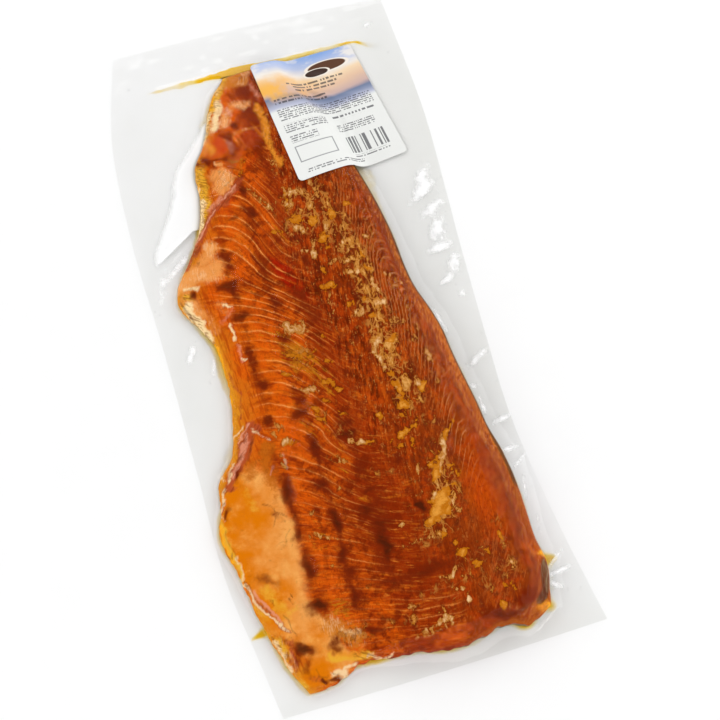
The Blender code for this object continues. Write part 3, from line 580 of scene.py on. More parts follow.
def banded(value, change, stops):
    """Colours that follow one another as value goes from 0 to 1. change says how one turns into the next."""
    made = add("ValToRGB", (value,))
    bands = made.node.color_ramp
    bands.interpolation = change
    while len(bands.elements) < len(stops):
        bands.elements.new(0.5)
    for element, (at, code) in zip(bands.elements, stops):
        element.position, element.color = at, srgb(code)
    return made


def place_in_mm():
    return add("VectorMath", {0: add("TexCoord", out="Object"), "Scale": 1 / MM}, operation="SCALE")


# Oily hot-smoked flesh: deep orange-brown, paler and more orange towards the belly, brick red along the back.
# The film lies wet on it, so it has next to no shine of its own and its colours are full.
tree = new_material(fillet, "oily_smoked_flesh")
spot = {name: add("Attribute", out="Fac", attribute_name=name) for name in painted}
share, flake, rim = spot["share"], spot["flake"], spot["rim"]
plan = place_in_mm()
plan_x, plan_y = (add("SeparateXYZ", (plan,), k) for k in (0, 1))
along = add("CombineXYZ", (plan_x, flake))      # runs with the flakes

mottle = speckle(plan, 11, 4, 0.6)
cloud = speckle(plan, 26, 3)
fine = speckle(plan, 1.6, 4, 0.65)
shred = speckle(plan, 2.4, 5, 0.7, warp=0.6)
streak = speckle(along, 2.4, 5, 0.68, (0.2, 1), warp=0.5)
streak_fine = speckle(along, 1.1, 3, 0.6, (0.2, 1))
patch = speckle(along, 6, 4, 0.62, (0.5, 1), warp=0.6)
fibre = speckle(plan, 2.6, 5, 0.68, (1, 0.2), turn=7)
fibre_fine = speckle(plan, 0.8, 3, 0.6, (1, 0.14), turn=7)
steep = speckle(plan, 1.5, 2, 0.6, (1, 0.09), turn=31)      # finer in reality, but then it wouldn't show

tone = shifted(spot["tone"], cloud, 1.1)
colour = banded(shifted(share, mottle, 0.14), "EASE", (
    (0.0, "#d98a1e"), (0.06, "#cf6a12"), (0.14, "#cf5a08"), (0.27, "#cf5408"), (0.38, "#b34406"),
    (0.46, "#a23a08"), (0.56, "#963206"), (0.68, "#8c3206"), (0.8, "#8c360a"), (0.9, "#903808"),
    (0.97, "#98380c"), (1.0, "#80340c")))
colour = coats(colour, ("#d45f06", ramp_to(tone, 0.05, 0.9, 0, 0.9)),
               ("#741c02", ramp_to(tone, -0.05, -0.9, 0, 0.9)))

# zigzag flakes on the belly side, of uneven size, with painted light along the top of each ridge and painted
# shade in the hollow at its foot; darker over the wires of the rack, with thin lines of connective tissue
# where they are cut crisply
WIRE_GAP, WIRE_AT = 23, -55.5       # from wire to wire, and the place of the first
belly = times(ramp_to(share, 0.05, 0.14), ramp_to(spot["zone"], 0.6, 0.5))
run = shifted(shifted(shifted(flake, speckle(plan, 30, 2), 6), speckle(plan, 7, 3), 2.6), fine, 0.5)
to_line = add("Math", (run, FLAKE_PITCH / 2), operation="PINGPONG")
phase = add("Math", (add("Math", (run, FLAKE_PITCH), operation="DIVIDE"),), operation="FRACT")
uneven = times(ramp_to(speckle(along, 6, 4, 0.68, (0.6, 1)), 0.44, 0.6), ramp_to(spot["ruled"], 0.1, 0.8))
to_wire = add("Math", (shifted(add("Math", (plan_x, -WIRE_AT)), mottle, 12), WIRE_GAP / 2),
              operation="PINGPONG")
wire = ramp_to(to_wire, 6.5, 1.5)
in_places = times(ramp_to(speckle(along, 9, 3, 0.6, (0.3, 1)), 0.4, 0.54), ramp_to(spot["ruled"], -0.1, 0.6))
colour = coats(
    colour,
    ("#da6008", within(share, 0.1, 0.16, 0.26, 0.4),
     ramp_to(speckle(along, 8, 3, stretch=(0.7, 1)), 0.48, 0.62), 0.65),
    ("#da5a06", ramp_to(shifted(spot["ember"], shred, 1.2), 0.1, 0.95), ramp_to(spot["ember"], 0.06, 0.24),
     0.85),
    ("#842004", belly, ramp_to(patch, 0.5, 0.34), 0.7),
    ("#e47a1c", belly, ramp_to(patch, 0.54, 0.7), 0.45),
    ("#842604", belly, ramp_to(streak, 0.5, 0.38), ramp_to(share, 0.1, 0.34, 0.2, 0.65)),
    ("#e98a30", belly, ramp_to(streak, 0.55, 0.68), 0.6),
    ("#a01202", ramp_to(shifted(spot["raw"], streak, 0.7), 0.2, 0.8, 0, 0.85)),
    ("#d85608", belly, less(1.0, wire), ramp_to(speckle(plan, 13, 3), 0.44, 0.58), ramp_to(share, 0.5, 0.32),
     ramp_to(flake, -120, -30, 0.3, 1.0), 0.6),
    ("#7c2204", belly, wire, ramp_to(speckle(along, 7, 4, 0.6, (0.7, 1)), 0.44, 0.6), 0.5),
    # painted shade at the foot of each flake, then painted light along its top
    ("#661802", belly, within(phase, 0.45, 0.85, 0.94, 1.0), uneven, scaled(wire, 0.65, 0.35), 0.9),
    ("#ec8018", belly, ramp_to(phase, 0.45, 0.08), uneven, 0.4),
    ("#e8863a", belly, ramp_to(shifted(to_line, shred, 2), 1.6, 0.2), in_places, 0.4),
    ("#ec9448", belly, ramp_to(shifted(to_line, streak_fine, 0.9), 0.52, 0.14), in_places, 0.85),
    ("#a83a06", within(share, 0.01, 0.04, 0.12, 0.2),
     ramp_to(speckle(plan, 1.5, 3, stretch=(1, 0.12), turn=-4), 0.47, 0.62), 0.65),
    ("#6a1c04", within(share, 0.2, 0.34, 0.5, 0.66), ramp_to(speckle(plan, 8, 4, 0.65), 0.49, 0.63), 0.7),
    ("#c07a16", ramp_to(shifted(spot["olive"], shifted(patch, streak_fine, 0.8), 2.6), 0.66, 1.02), 0.7))

# middle and back: fibres that run along the fish, red-brown, violet-brown and orange, with a fine light grain
middle = times(ramp_to(spot["zone"], 0.44, 0.56), ramp_to(share, 0.96, 0.92))
upper = ramp_to(flake, -110, -5, 0.38, 1.0)
back = within(share, 0.7, 0.8, 0.93, 0.95)
to_line = add("Math", (shifted(flake, fine, 2.4), BACK_PITCH / 2), operation="PINGPONG")
low_back = times(ramp_to(spot["tone"], 0.12, 0.4), ramp_to(share, 0.7, 0.8))
colour = coats(
    colour,
    ("#b43e08", middle, ramp_to(speckle(plan, 9, 3, 0.6), 0.49, 0.61), 0.55),
    ("#4c1402", middle, ramp_to(fibre, 0.51, 0.39), upper, 0.8),
    ("#c85810", middle, ramp_to(fibre, 0.53, 0.64), upper, 0.75),
    ("#66240e", middle, ramp_to(speckle(plan, 6, 4, 0.65), 0.52, 0.64), 0.6),
    ("#d48a40", middle, ramp_to(shifted(shred, fibre_fine, 0.9), 0.6, 0.7), upper, 0.55),
    ("#ca8248", back, ramp_to(mottle, 0.36, 0.52), ramp_to(spot["ruled"], 0.1, 0.6),
     ramp_to(shifted(to_line, shred, 1.2), 0.8, 0.25), 0.7),
    ("#64220a", back, ramp_to(to_line, 2.4, 3.8), 0.4),
    ("#bc6028", back, ramp_to(steep, 0.54, 0.66), 0.4),
    ("#b23a04", low_back, 0.55),
    ("#d45808", low_back, ramp_to(fibre_fine, 0.5, 0.66), 0.5))

# the edge of the back: a brick red band of fine slanting lines, a duller dark line inside it, and the brown
# line of skin
back_edge = ramp_to(share, 0.8, 0.86)
behind = less(rim, ramp_to(plan_y, 20, -25, 7.2, 10.8))
band = times(ramp_to(shifted(behind, speckle(plan, 5, 3), 3.5), 0.8, -0.8), back_edge,
             ramp_to(plan_y, -160, -120, 0.55, 1.0))
dull_line = times(ramp_to(add("Math", (shifted(behind, shred, 4),), operation="ABSOLUTE"), 2.2, 0.6), back_edge)
brick_red = paint("#8c4014", "#be641c", ramp_to(spot["tone"], -0.25, 0.2))
brick_red = paint(brick_red, "#9c4626", ramp_to(rim, 4, 7), 0.7)
skin_line = less(shifted(rim, shred, 1.5),
                 times(ramp_to(plan_y, -100, -116), ramp_to(plan_y, -154, -144), 1.8))
colour = coats(
    colour,
    (brick_red, band, 0.85),
    ("#ce7e34", band, ramp_to(steep, 0.5, 0.6), 0.6),
    ("#74301a", band, ramp_to(steep, 0.5, 0.4), 0.5),
    ("#6e2e18", dull_line, ramp_to(mottle, 0.4, 0.6), 0.6),
    (paint("#a8520e", "#4a3008", ramp_to(plan_y, -150, -142)), ramp_to(skin_line, 3.0, 1.4),
     ramp_to(share, 0.6, 0.8), 0.85))

# the belly flap, its yellow fat and bare linings
flap = shifted(spot["flap"], mottle, 0.45)
outer = shifted(shifted(share, cloud, 0.4), mottle, 0.25)
flap_tint = coats(
    paint("#d87404", "#e89c4e", ramp_to(outer, 0.02, 0.24)),
    ("#cc6c14", ramp_to(shifted(patch, shred, 0.4), 0.5, 0.75, 0, 0.45)),
    (paint("#eaa028", "#f0b25c", ramp_to(outer, 0.0, 0.2)),
     ramp_to(shifted(mottle, shred, 0.5), 0.5, 0.75, 0, 0.45)))
colour = paint(colour, flap_tint, ramp_to(flap, 0.24, 0.6))
for name, code, raggedness, full, _ in WASHES:
    edge = ramp_to(shifted(shifted(spot[name], shred, 1.5 * raggedness), mottle, 0.6), 0.1, 0.95, 0, full)
    colour = paint(colour, code, edge, ramp_to(spot[name], 0.06, 0.24))
lining = most(spot["peach"], spot["cream"], spot["tan"])
on_lining = ramp_to(lining, 0.1, 0.5)
slanting = speckle(plan, 1.6, 3, 0.6, (0.2, 1), turn=-45)
colour = coats(
    colour,
    ("#8a4a10", ramp_to(spot["gold"], 0.2, 0.6),
     ramp_to(speckle(plan, 1.3, 3, 0.6, (0.2, 1), turn=35), 0.47, 0.6),
     ramp_to(flap, 0.5, 0.2), 0.65),
    ("#b85c1c", on_lining, ramp_to(shifted(patch, shred, 0.9), 0.5, 0.8), 0.35),
    ("#fad8a8", on_lining, ramp_to(shifted(mottle, fibre_fine, 0.9), 0.5, 0.74), 0.3),
    ("#7c3014", ramp_to(spot["brick"], 0.3, 0.7), ramp_to(slanting, 0.5, 0.62), 0.6),
    ("#a4542c", ramp_to(spot["peach"], 0.2, 0.6), ramp_to(slanting, 0.46, 0.66), ramp_to(plan_y, 90, 105),
     0.3),
    (paint("#6a5238", "#4a2c1c", ramp_to(fibre, 0.4, 0.6)),
     ramp_to(shifted(spot["bare"], shred, 0.5), 0.3, 0.7, 0, 0.85)))

# darker grain, burnt marks, and painted shade in the wrinkles
cut_grain = speckle(plan, 1.6, 4, 0.7, (1, 0.5), turn=7, warp=0.5)
smoke = shifted(spot["smoke"], shred, 0.6)
colour = coats(
    colour,
    ("#6a1c02", ramp_to(cut_grain, 0.52, 0.34), ramp_to(flap, 0.6, 0.2),
     ramp_to(most(lining, spot["gold"]), 0.5, 0.1, 0.35, 1.0), ramp_to(share, 0.1, 0.42, 0.45, 1.0), 0.5),
    ("#6e2006", ramp_to(smoke, 0.0, 0.8, 0, 0.85)),
    ("#3a1808", ramp_to(shifted(smoke, streak, 0.9), 0.55, 1.5, 0, 0.75)),
    # painted shade along the wrinkles
    ("#6a3410", ramp_to(shifted(spot["wrinkle_shade"], shred, 0.8), 0.15, 0.95, 0, 0.6)))

# juices set as lace and in pale flecks, and fat set in ochre patches, torn along the fibres, with painted
# shade round them
torn = speckle(plan, 4.0, 6, 0.68, (1, 0.55), turn=7, warp=0.5)
leafy = speckle(plan, 5.5, 6, 0.66, warp=0.4)
web = add("Math", (less(speckle(plan, 6, 3, 0.5, (1, 0.6), turn=7, warp=1.0), 0.5),), operation="ABSOLUTE")
lace_zone = shifted(spot["lace"], speckle(plan, 10, 3), 1.8)
lace = scaled(ramp_to(lace_zone, 0.1, 1.0), 0.2, torn)
lace_on = times(ramp_to(lace, 0.68, 0.72), ramp_to(lace_zone, 0.1, 0.35))
thread_on = times(ramp_to(scaled(torn, -0.16, web), -0.035, -0.055), ramp_to(lace_zone, 0.3, 0.7))
curd, fat = shifted(spot["curd"], torn, 6.2), shifted(spot["fat"], leafy, 5.0)
curd_on = times(ramp_to(curd, 0.52, 0.66), ramp_to(spot["curd"], 0.08, 0.2))
fat_on = times(ramp_to(fat, 0.5, 0.6), ramp_to(spot["fat"], 0.08, 0.2))
# painted shade: a dark rim round the lace, the flecks and the patches
shade_round_juices = most(times(ramp_to(lace, 0.56, 0.67), ramp_to(lace_zone, 0.1, 0.4)),
              times(ramp_to(curd, 0.0, 0.45), ramp_to(spot["curd"], 0.1, 0.3)),
              times(ramp_to(fat, 0.0, 0.45), ramp_to(spot["fat"], 0.1, 0.3)))
colour = coats(
    colour,
    ("#5c2206", shade_round_juices, 0.6),
    ("#be7a34", thread_on, 0.75),
    (paint("#b8701e", "#dea458", ramp_to(shifted(lace, fine, 0.2), 0.7, 0.84)), lace_on, 0.85),
    (paint("#bc6c0a", "#e0983a", ramp_to(fat, 0.7, 1.8)), fat_on, 0.9),
    (paint("#bc7a30", "#efc692", ramp_to(shifted(curd, fine, 1.4), 0.7, 2.1)), curd_on, 0.9))

height = scaled(times(streak, belly), 0.5, scaled(times(fibre, middle), 0.4, times(shred, 0.3)))
height = scaled(most(lace_on, curd_on, fat_on), 0.25, height)
relief = add("Bump", {"Height": height, "Strength": 0.5, "Distance": 0.4 * MM})
add("OutputMaterial", {"Surface": add("BsdfPrincipled", {
    "Base Color": colour, "Normal": relief, "Roughness": 0.5, "IOR": 1.4, "Specular IOR Level": 0.02})})

# Trout skin: small scales with a silver and bronze lustre, darker towards the back, with round black spots.
SCALE_SIZE, SPOT_GAP = 1.8, 9
tree = new_material(fillet, "trout_skin")
plan = place_in_mm()
scale_shape = add("TexVoronoi", {"Vector": plan, "Scale": 1 / SCALE_SIZE}, feature="DISTANCE_TO_EDGE")
spots = add("TexVoronoi", {"Vector": plan, "Scale": 1 / SPOT_GAP, "Randomness": 0.9})
kept_spots = ramp_to(add("SeparateColor", (spots.node.outputs[1],)), 0.45, 0.5, 0, 0.9)
colour = coats(
    paint("#c9a06a", "#4c3420", ramp_to(add("SeparateXYZ", (plan,)), -90, 80)),
    ("#b9865c", ramp_to(speckle(plan, 14, 4), 0.4, 0.7, 0, 0.5)),
    ("#2a1a10", ramp_to(scale_shape, 0.09, 0.02, 0, 0.5)),
    ("#1c120c", ramp_to(spots, 0.24, 0.17), kept_spots))
relief = add("Bump", {"Height": scale_shape, "Strength": 0.4, "Distance": 0.2 * MM})
add("OutputMaterial", {"Surface": add("BsdfPrincipled", {
    "Base Color": colour, "Normal": relief, "Roughness": 0.38, "Metallic": 0.35})})
faces = fillet.data.polygons
facing, middle_of = np.empty(len(faces) * 3), np.empty(len(faces) * 3)
faces.foreach_get("normal", facing)
faces.foreach_get("center", middle_of)
up, (across, _, above) = facing[2::3], middle_of.reshape(-1, 3).T
wall_top = np.where(across > 20 * MM, 5, 1) * MM        # skin shows up to here on the upright rim
is_skin = (up < -0.3) | ((np.abs(up) < 0.2) & (above < wall_top))
faces.foreach_set("material_index", is_skin.astype(np.int32))

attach(fillet, "root")
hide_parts("vacuum_pouch")

# ---- Oil ---------------------------------------------------------------------------------------------------
# Clear golden oil and brine that the vacuum has drawn out of the fish. It lies between the two plies, thick
# where the film comes down from the fish, thinner outwards, and in a band that the cross seal has stopped.
# Where it has run further out: place, length along the outline, extra width, strength.
OIL_RUNS = (
    (-92, -187, 2.2, 10, 1.2), (83, -224, 4.5, 4.5, 1.1), (87, -194, 3.4, 6, 1.2), (62, -231, 7, 1, 0.7),
    (-34, -224, 11, 1.6, 0.9), (-75, 0, 26, 1.2, 0.5), (-104, -120, 16, 1, 0.5), (-62, 96, 22, 1.4, 0.7),
    (-34, 182, 16, 1.6, 0.15), (-57, 142, 16, 1.4, 0.4), (-85, -222, 16, 1, 0.3), (-80, 62, 14, 1, 0.2),
    (10, -230, 18, 0.4, 0.4), (84, -150, 30, 0.6, 0.1), (72, -60, 40, 0.6, 0.2), (60, 60, 60, 0.4, 0.15),
    (-18, 203, 7, 0.6, -0.7), (-86, -74, 9, 5, 0), (-79, -20, 14, 3, 0.05), (60, 84, 18, 2.4, -0.05),
    (-94, -205, 16, 0.8, 0.3), (-47, 168, 9, 6, -0.1), (84, -205, 12, 3, -0.15), (56, 98, 10, 8, -0.05),
    (-60, 140, 10, 3, -0.05))
# The band, from left to right: place, near side, far side, strength.
SEAL_BAND = (
    (-76, 205.2, 205.8, 0.05), (-66, 204.4, 206.6, 0.3), (-55, 204.2, 207.6, 0.35), (-50, 203.6, 208, 0.5),
    (-44, 204.6, 207.8, 0.45), (-36, 204.8, 208.4, 0.65), (-28, 204.8, 208.8, 1), (-20, 203.4, 209.6, 1.3),
    (-10, 201.2, 210.4, 1.5), (0, 201.2, 210, 1.4), (20, 203, 209, 0.7), (60, 204, 209.5, 0.5),
    (70, 206.5, 209.6, 0.5), (77, 207.2, 209, 1), (83, 206.4, 207.8, 0.8), (88, 202, 206, 0.2),
    (94, 199, 203, 0.08), (100, 200, 202, 0))
OIL_STEP = 1.2              # between the places where it is measured out round the fish
BAND_START, BAND_LENGTH = -76, 176
HEAD_END = BELLY[0][0]
OIL_UNDER, BAND_TOP = 0.16, 0.38      # heights of its underside, and of its upper side in the band

left_side = [(float(curve(BELLY, y)), y) for y in np.arange(TAIL_END, HEAD_END, -OIL_STEP)]
left_side = [p for p in left_side if p[1] > float(curve(HEAD_CUT, p[0]))]
right_side = [(float(curve(BACK, y)), y) for y in np.arange(HEAD_END, TAIL_END, OIL_STEP)]
right_side = [p for p in right_side if p[1] > float(curve(HEAD_CUT, p[0]))]
cut_side = [(x, float(curve(HEAD_CUT, x)))
            for x in np.arange(left_side[-1][0] + OIL_STEP, right_side[0][0] - OIL_STEP / 2, OIL_STEP)]
end_side = [(x, TAIL_END) for x in np.arange(4, left_side[0][0], -OIL_STEP)]
outline = np.array(end_side + left_side + cut_side + right_side)
tangent = np.gradient(outline, axis=0)
window = np.hanning(9) / np.hanning(9).sum()
tangent = np.stack([np.convolve(np.pad(tangent[:, k], 4, mode="edge"), window, "valid") for k in (0, 1)], 1)
outward = np.stack([tangent[:, 1], -tangent[:, 0]], 1) / np.linalg.norm(tangent, axis=1)[:, None]

oil, s, t = new_grid("oil", 6, len(outline) - 1)
at = np.round(t * (len(outline) - 1)).astype(int)
x, y = outline[at].T
width, strong = 1.5 + 0.5 * grain(x, y, 5, 61) + 0.35 * grain(x, y, 2.2, 62), np.full_like(x, 0.28)
for rx, ry, length, extra, strength in OIL_RUNS:
    near = np.exp(-((x - rx) ** 2 + (y - ry) ** 2) / length**2)
    width, strong = width + extra * near, strong + strength * near
gap = -0.6 + (width + 0.6) * s
x, y = x + outward[at, 0] * gap, y + outward[at, 1] * gap
share, _, inside = lie_of_fish(x, y)
shape(oil, x, y, np.where(gap < 0, 0.5, 0.3 + 0.55 * body_rise(y, share, np.minimum(inside, 0))))
mark(oil, {"strength": strong * (1 - 0.75 * s**1.5)})

seal_oil, s, t = new_grid("seal_oil", 120, 5)
x = BAND_START + BAND_LENGTH * s
near_side, far_side, strong = (curve([(row[0], row[k]) for row in SEAL_BAND], x) for k in (1, 2, 3))
near_side, far_side = near_side + 0.5 * grain(x, x * 0, 3, 63), far_side + 0.4 * grain(x, x * 0, 4, 64)
y = near_side + (far_side - near_side) * t
shape(seal_oil, x, y, BAND_TOP + x * 0)
mark(seal_oil, {"strength": strong * (1.2 + 0.4 * grain(x, y, 6, 65))})
oil.select_set(True)
bpy.context.view_layer.objects.active = oil
bpy.ops.object.join()
bpy.ops.object.mode_set(mode="EDIT")
bpy.ops.mesh.select_all(action="SELECT")
bpy.ops.mesh.extrude_region_move(TRANSFORM_OT_translate={"value": (0, 0, -0.2 * MM)})
bpy.ops.transform.resize(value=(1, 1, 0), center_override=(0, 0, OIL_UNDER * MM))
bpy.ops.mesh.select_all(action="SELECT")
bpy.ops.mesh.normals_make_consistent(inside=False)
bpy.ops.object.mode_set(mode="OBJECT")
bpy.ops.object.shade_smooth_by_angle(angle=math.radians(50))

# Oil: all the colour is in its depth. It takes out the blue, then some green, and wets both plies, so no
# shine.
tree = new_material(oil, "golden_fish_oil")
depth = shifted(add("Attribute", out="Fac", attribute_name="strength"), speckle(place_in_mm(), 4, 4), 0.35)
tint = coats((1, 1, 1, 1), ((1.0, 0.955, 0.84, 1), ramp_to(depth, 0.02, 0.4)),
             ((1.0, 0.855, 0.26, 1), ramp_to(depth, 0.35, 1.0)))
add("OutputMaterial", {"Surface": add("BsdfTransparent", (tint,))})
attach(oil, "root")
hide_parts("vacuum_pouch")

# ---- Pouch -------------------------------------------------------------------------------------------------
# Two plies of clear nylon and polythene film, welded all round and drawn down by the vacuum so that they
# cling to the fish. Flat and crinkled outside it, with a cross seal above the tail and a header beyond the
# seal.
HEADER_END, BOTTOM_END, SEAL_Y = 241.8, -241.0, 206.0
POUCH_LEFT = ((-241, -96), (-205, -101), (-157, -108), (-77, -109), (9, -110), (101, -112.5), (172, -108.6),
              (242, -93))
POUCH_RIGHT = ((-241, 113), (-178, 104.5), (-92, 98.2), (-34, 101), (27, 105), (90, 110), (125, 112.5),
               (242, 111))
PLY_TOP, PLY_UNDER = 0.5, 0.1     # heights of the two plies where they lie flat, with oily air between
CLING = 0.35                      # film above the flesh, in place of touching it
TENT_HIGH, TENT_AT, TENT_REACH = 2.6, 98, 34      # how far the film stands off by the tail, where, how widely
SIDE_CELLS, OVER_CELLS, LONG_CELLS = 30, 112, 350
CREASES = (
    (95, 85, 9, 4.2, 62, 1), (91, 75, 9, 3, 28, 0.9), (95, 62, 9, 3.4, 30, 0.9), (93, 45, 8, 4.2, 65, 1),
    (91, 31, 7, 2.8, 12, 0.8), (96, 17, 7, 3.6, 60, 0.9), (88, 7, 6, 2, 20, 0.7), (95, -5, 4, 2.6, 60, 0.7),
    (74, -22, 12, 2.4, 102, 0.8), (90, -53, 9, 3, 32, 1), (81, -72, 6, 3, -20, 0.7),
    (82, -86, 8, 2.2, 92, 0.7), (92, -98, 7, 2.6, 10, 0.8), (89, -119, 7, 2.4, 5, 0.8),
    (94, -128, 8, 2, 40, 0.6), (91, -145, 9, 1.6, 80, 0.5), (92, -168, 8, 1.6, 80, 0.4),
    (94, -195, 8, 2.2, 34, 0.9), (95, -203, 13, 2.2, 10, 1), (89, -211, 9, 2.4, -30, 0.8),
    (-93, 2, 10, 2.4, 58, 0.9), (-81, -11, 8, 2.2, 72, 0.8), (-103, 50, 20, 4, 80, 1),
    (-88, 68, 14, 3, 38, 0.9), (-92, 84, 16, 2.4, 30, 0.6), (-55, -228, 8, 2, 25, 0.6))
TENT_SIDE = ((70, -99), (78, -99), (88, -94), (105, -83), (120, -77), (137, -70), (153, -57), (165, -46),
             (175, -38))

columns = 2 * SIDE_CELLS + OVER_CELLS
film, s, t = new_grid("film", columns, LONG_CELLS)
s = s * columns
y = BOTTOM_END + (HEADER_END - BOTTOM_END) * crowded(t, 0.1)
left, right, edge_l, edge_r = curve(BELLY, y), curve(BACK, y), curve(POUCH_LEFT, y), curve(POUCH_RIGHT, y)
a = np.clip(s / SIDE_CELLS, 0, 1)                                   # from the left edge to the fish
b = np.clip((s - SIDE_CELLS - OVER_CELLS) / SIDE_CELLS, 0, 1)       # from the fish to the right edge
c = crowded(np.clip((s - SIDE_CELLS) / OVER_CELLS, 0, 1), 0.3)      # over the fish
x = np.where(s < SIDE_CELLS, edge_l + (left - edge_l) * (1 - (1 - a) ** 1.2), np.where(
    s > SIDE_CELLS + OVER_CELLS, right + (edge_r - right) * b ** 1.2, left + (right - left) * c))
bow = (x / 105) ** 2        # both ends of the pouch bulge a little in the middle
y = y + 1.2 * bow * smooth_step(-233, BOTTOM_END, y) - 2.6 * bow * smooth_step(206, HEADER_END, y)
share, flake, inside = lie_of_fish(x, y)
rise = body_rise(y, share, inside) + bumps(LUMPS, x, y) * smooth_step(-3, 3, inside)
rise += 0.55 * np.where(inside > 0, flake_relief(x, y, share, flake, np.maximum(inside, 0)), 0)
tent = np.exp(-((y - TENT_AT) / TENT_REACH) ** 2) * np.clip(1 + inside / TENT_REACH, 0, 1) ** 1.5 * (x < 0)
flat = smooth_step(-6, 0, inside)
clear_of_edge = smooth_step(0, 8, np.minimum(x - edge_l, edge_r - x))
ripple = (0.22 * grain(x, y, 16, 31) + 0.12 * grain(x, y, 6, 32)) * clear_of_edge + 0.22 * clear_of_edge
seal = 0.5 * np.exp(-((y - SEAL_Y) / 2.0) ** 2) * smooth_step(-75, -60, x) * smooth_step(84, 72, x)
shape(film, x, y, PLY_TOP + (MEAT_ON_SKIN + CLING - PLY_TOP) * flat + rise + TENT_HIGH * tent * (1 - flat)
      + ripple * (1 - flat) + 0.7 * bumps(CREASES, x, y) * smooth_step(-1, -5, inside) + seal)
close_below(PLY_UNDER, 60)

# How milky the film looks on the table: 0 where it stands off or shines, 1 where both plies stick together.
# The grey band along the bottom, below the head cut, is painted shade.
VEIL_AND_SHADE = (
    (92, 0, 260, 26, 90, 0.5), (-100, -60, 150, 18, 90, 0.3), (10, -238, 110, 9, 0, 0.5),
    (100, 150, 60, 16, 90, 0.8), (-93, 170, 40, 16, 80, 0.1), (-88, 78, 12, 4, 32, 0.6),
    (70, 60, 60, 12, 95, 0.3), (95, -150, 50, 12, 90, -0.6), (-20, 207, 50, 5, 0, -0.5))
# Painted highlights, white patches where the folds catch the light, most of them on the creases.
SHINE = (
    (95, 85, 11, 5.4, 62, 1.3), (91, 75, 11, 3.4, 28, 1.2), (95, 62, 11, 4, 30, 1.1),
    (93, 45, 10, 5.4, 65, 1.3), (91, 31, 9, 3.2, 12, 1.3), (96, 17, 9, 4.4, 60, 1.1),
    (88, 7, 7, 2.2, 20, 1.1), (95, -5, 4, 2.6, 60, 0.8), (74, -22, 11, 2, 102, 0.9),
    (90, -53, 9, 2.6, 32, 1.2), (81, -72, 5, 2.6, -20, 0.7), (82, -86, 8, 1.8, 92, 0.9),
    (92, -98, 7, 2, 10, 1.1), (89, -119, 7, 2, 5, 1), (94, -128, 8, 1.6, 40, 0.7),
    (91, -145, 9, 1.2, 80, 0.8), (92, -168, 8, 1.2, 80, 0.6), (94, -195, 8, 1.6, 34, 0.9),
    (95, -203, 13, 1.5, 10, 0.9), (89, -211, 9, 2.2, -30, 0.8), (87, -202, 7, 3, 74, 0.6),
    (-93, 2, 10, 2.4, 58, 0.9), (-81, -11, 8, 2.2, 72, 0.9), (-101, 52, 16, 3, 70, 0.6),
    (-86, 66, 14, 3, 38, 0.9), (95, 220, 3, 4, 90, 0.8))
x, y, z = in_plan(film)
_, _, inside = lie_of_fish(x, y)
tent_highlight = (smooth_step(-6, 5, x - curve(TENT_SIDE, y))
          * smooth_step(-1, 1, y - 89 - 0.62 * np.minimum(x + 70, 0)) * smooth_step(174, 168, y) * (x < 0))
painted = {"veil_and_shade": 0.2 + bumps(VEIL_AND_SHADE, x, y) + 0.12 * grain(x * 0.4, y, 20, 41),
           "over": smooth_step(-3, 1, inside),
           "shine": 0.85 * bumps(SHINE, x, y), "tent_highlight": tent_highlight,
           "outer_side": np.where(z < PLY_UNDER + 0.02, 0, 1)}
mark(film, painted)

# Clear vacuum film, smooth and glossy. On bare table it greys what is under it a little; on the oily flesh
# the inner side is wetted and only the outer side shines. On the creases and where it stands off by the tail,
# plain white is mixed in as painted highlight.
tree = new_material(film, "clear_vacuum_film")
spot = {name: add("Attribute", out="Fac", attribute_name=name) for name in painted}
plan = place_in_mm()
# painted highlight: white patches on the creases and on the film that stands off by the tail
painted_highlight = most(ramp_to(shifted(spot["shine"], speckle(plan, 5, 4, 0.62), 1.5), 0.2, 1.1),
             ramp_to(shifted(spot["tent_highlight"], speckle(plan, 16, 3), 0.5), 0.2, 0.95))
beside = less(1.0, spot["over"])
# milkiness, and painted shade along the bottom, both kept off the painted highlights
milk_and_shade = times(shifted(spot["veil_and_shade"], speckle(plan, 9, 3), 0.3), less(1.0, painted_highlight), beside)
milk_and_shade = add("Math", (milk_and_shade, 0.0), use_clamp=True)
see = add("BsdfTransparent", (paint((1, 1, 1, 1), (0.955, 0.955, 0.945, 1), milk_and_shade),))
crinkled = add("Bump", {"Height": speckle(plan, 2.4, 3), "Strength": 0.12, "Distance": 0.3 * MM})
gloss = add("BsdfGlossy", {"Color": (1, 1, 1, 1), "Roughness": 0.09, "Normal": crinkled})
slant = add("Math", (add("LayerWeight", {"Blend": 0.5}, "Facing"), 5.0), operation="POWER")
mirror = times(scaled(slant, 0.9, 0.04), spot["outer_side"], scaled(spot["over"], -0.88, 1.0))
# plain white, mixed in as the painted highlight
highlight_white = add("BsdfDiffuse", {"Color": "#ffffff"})
both = add("MixShader", (mirror, see, gloss))
both = add("MixShader", (times(painted_highlight, beside, spot["outer_side"], 0.85), both, highlight_white))
add("OutputMaterial", {"Surface": both})
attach(film, "root")
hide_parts("vacuum_pouch")

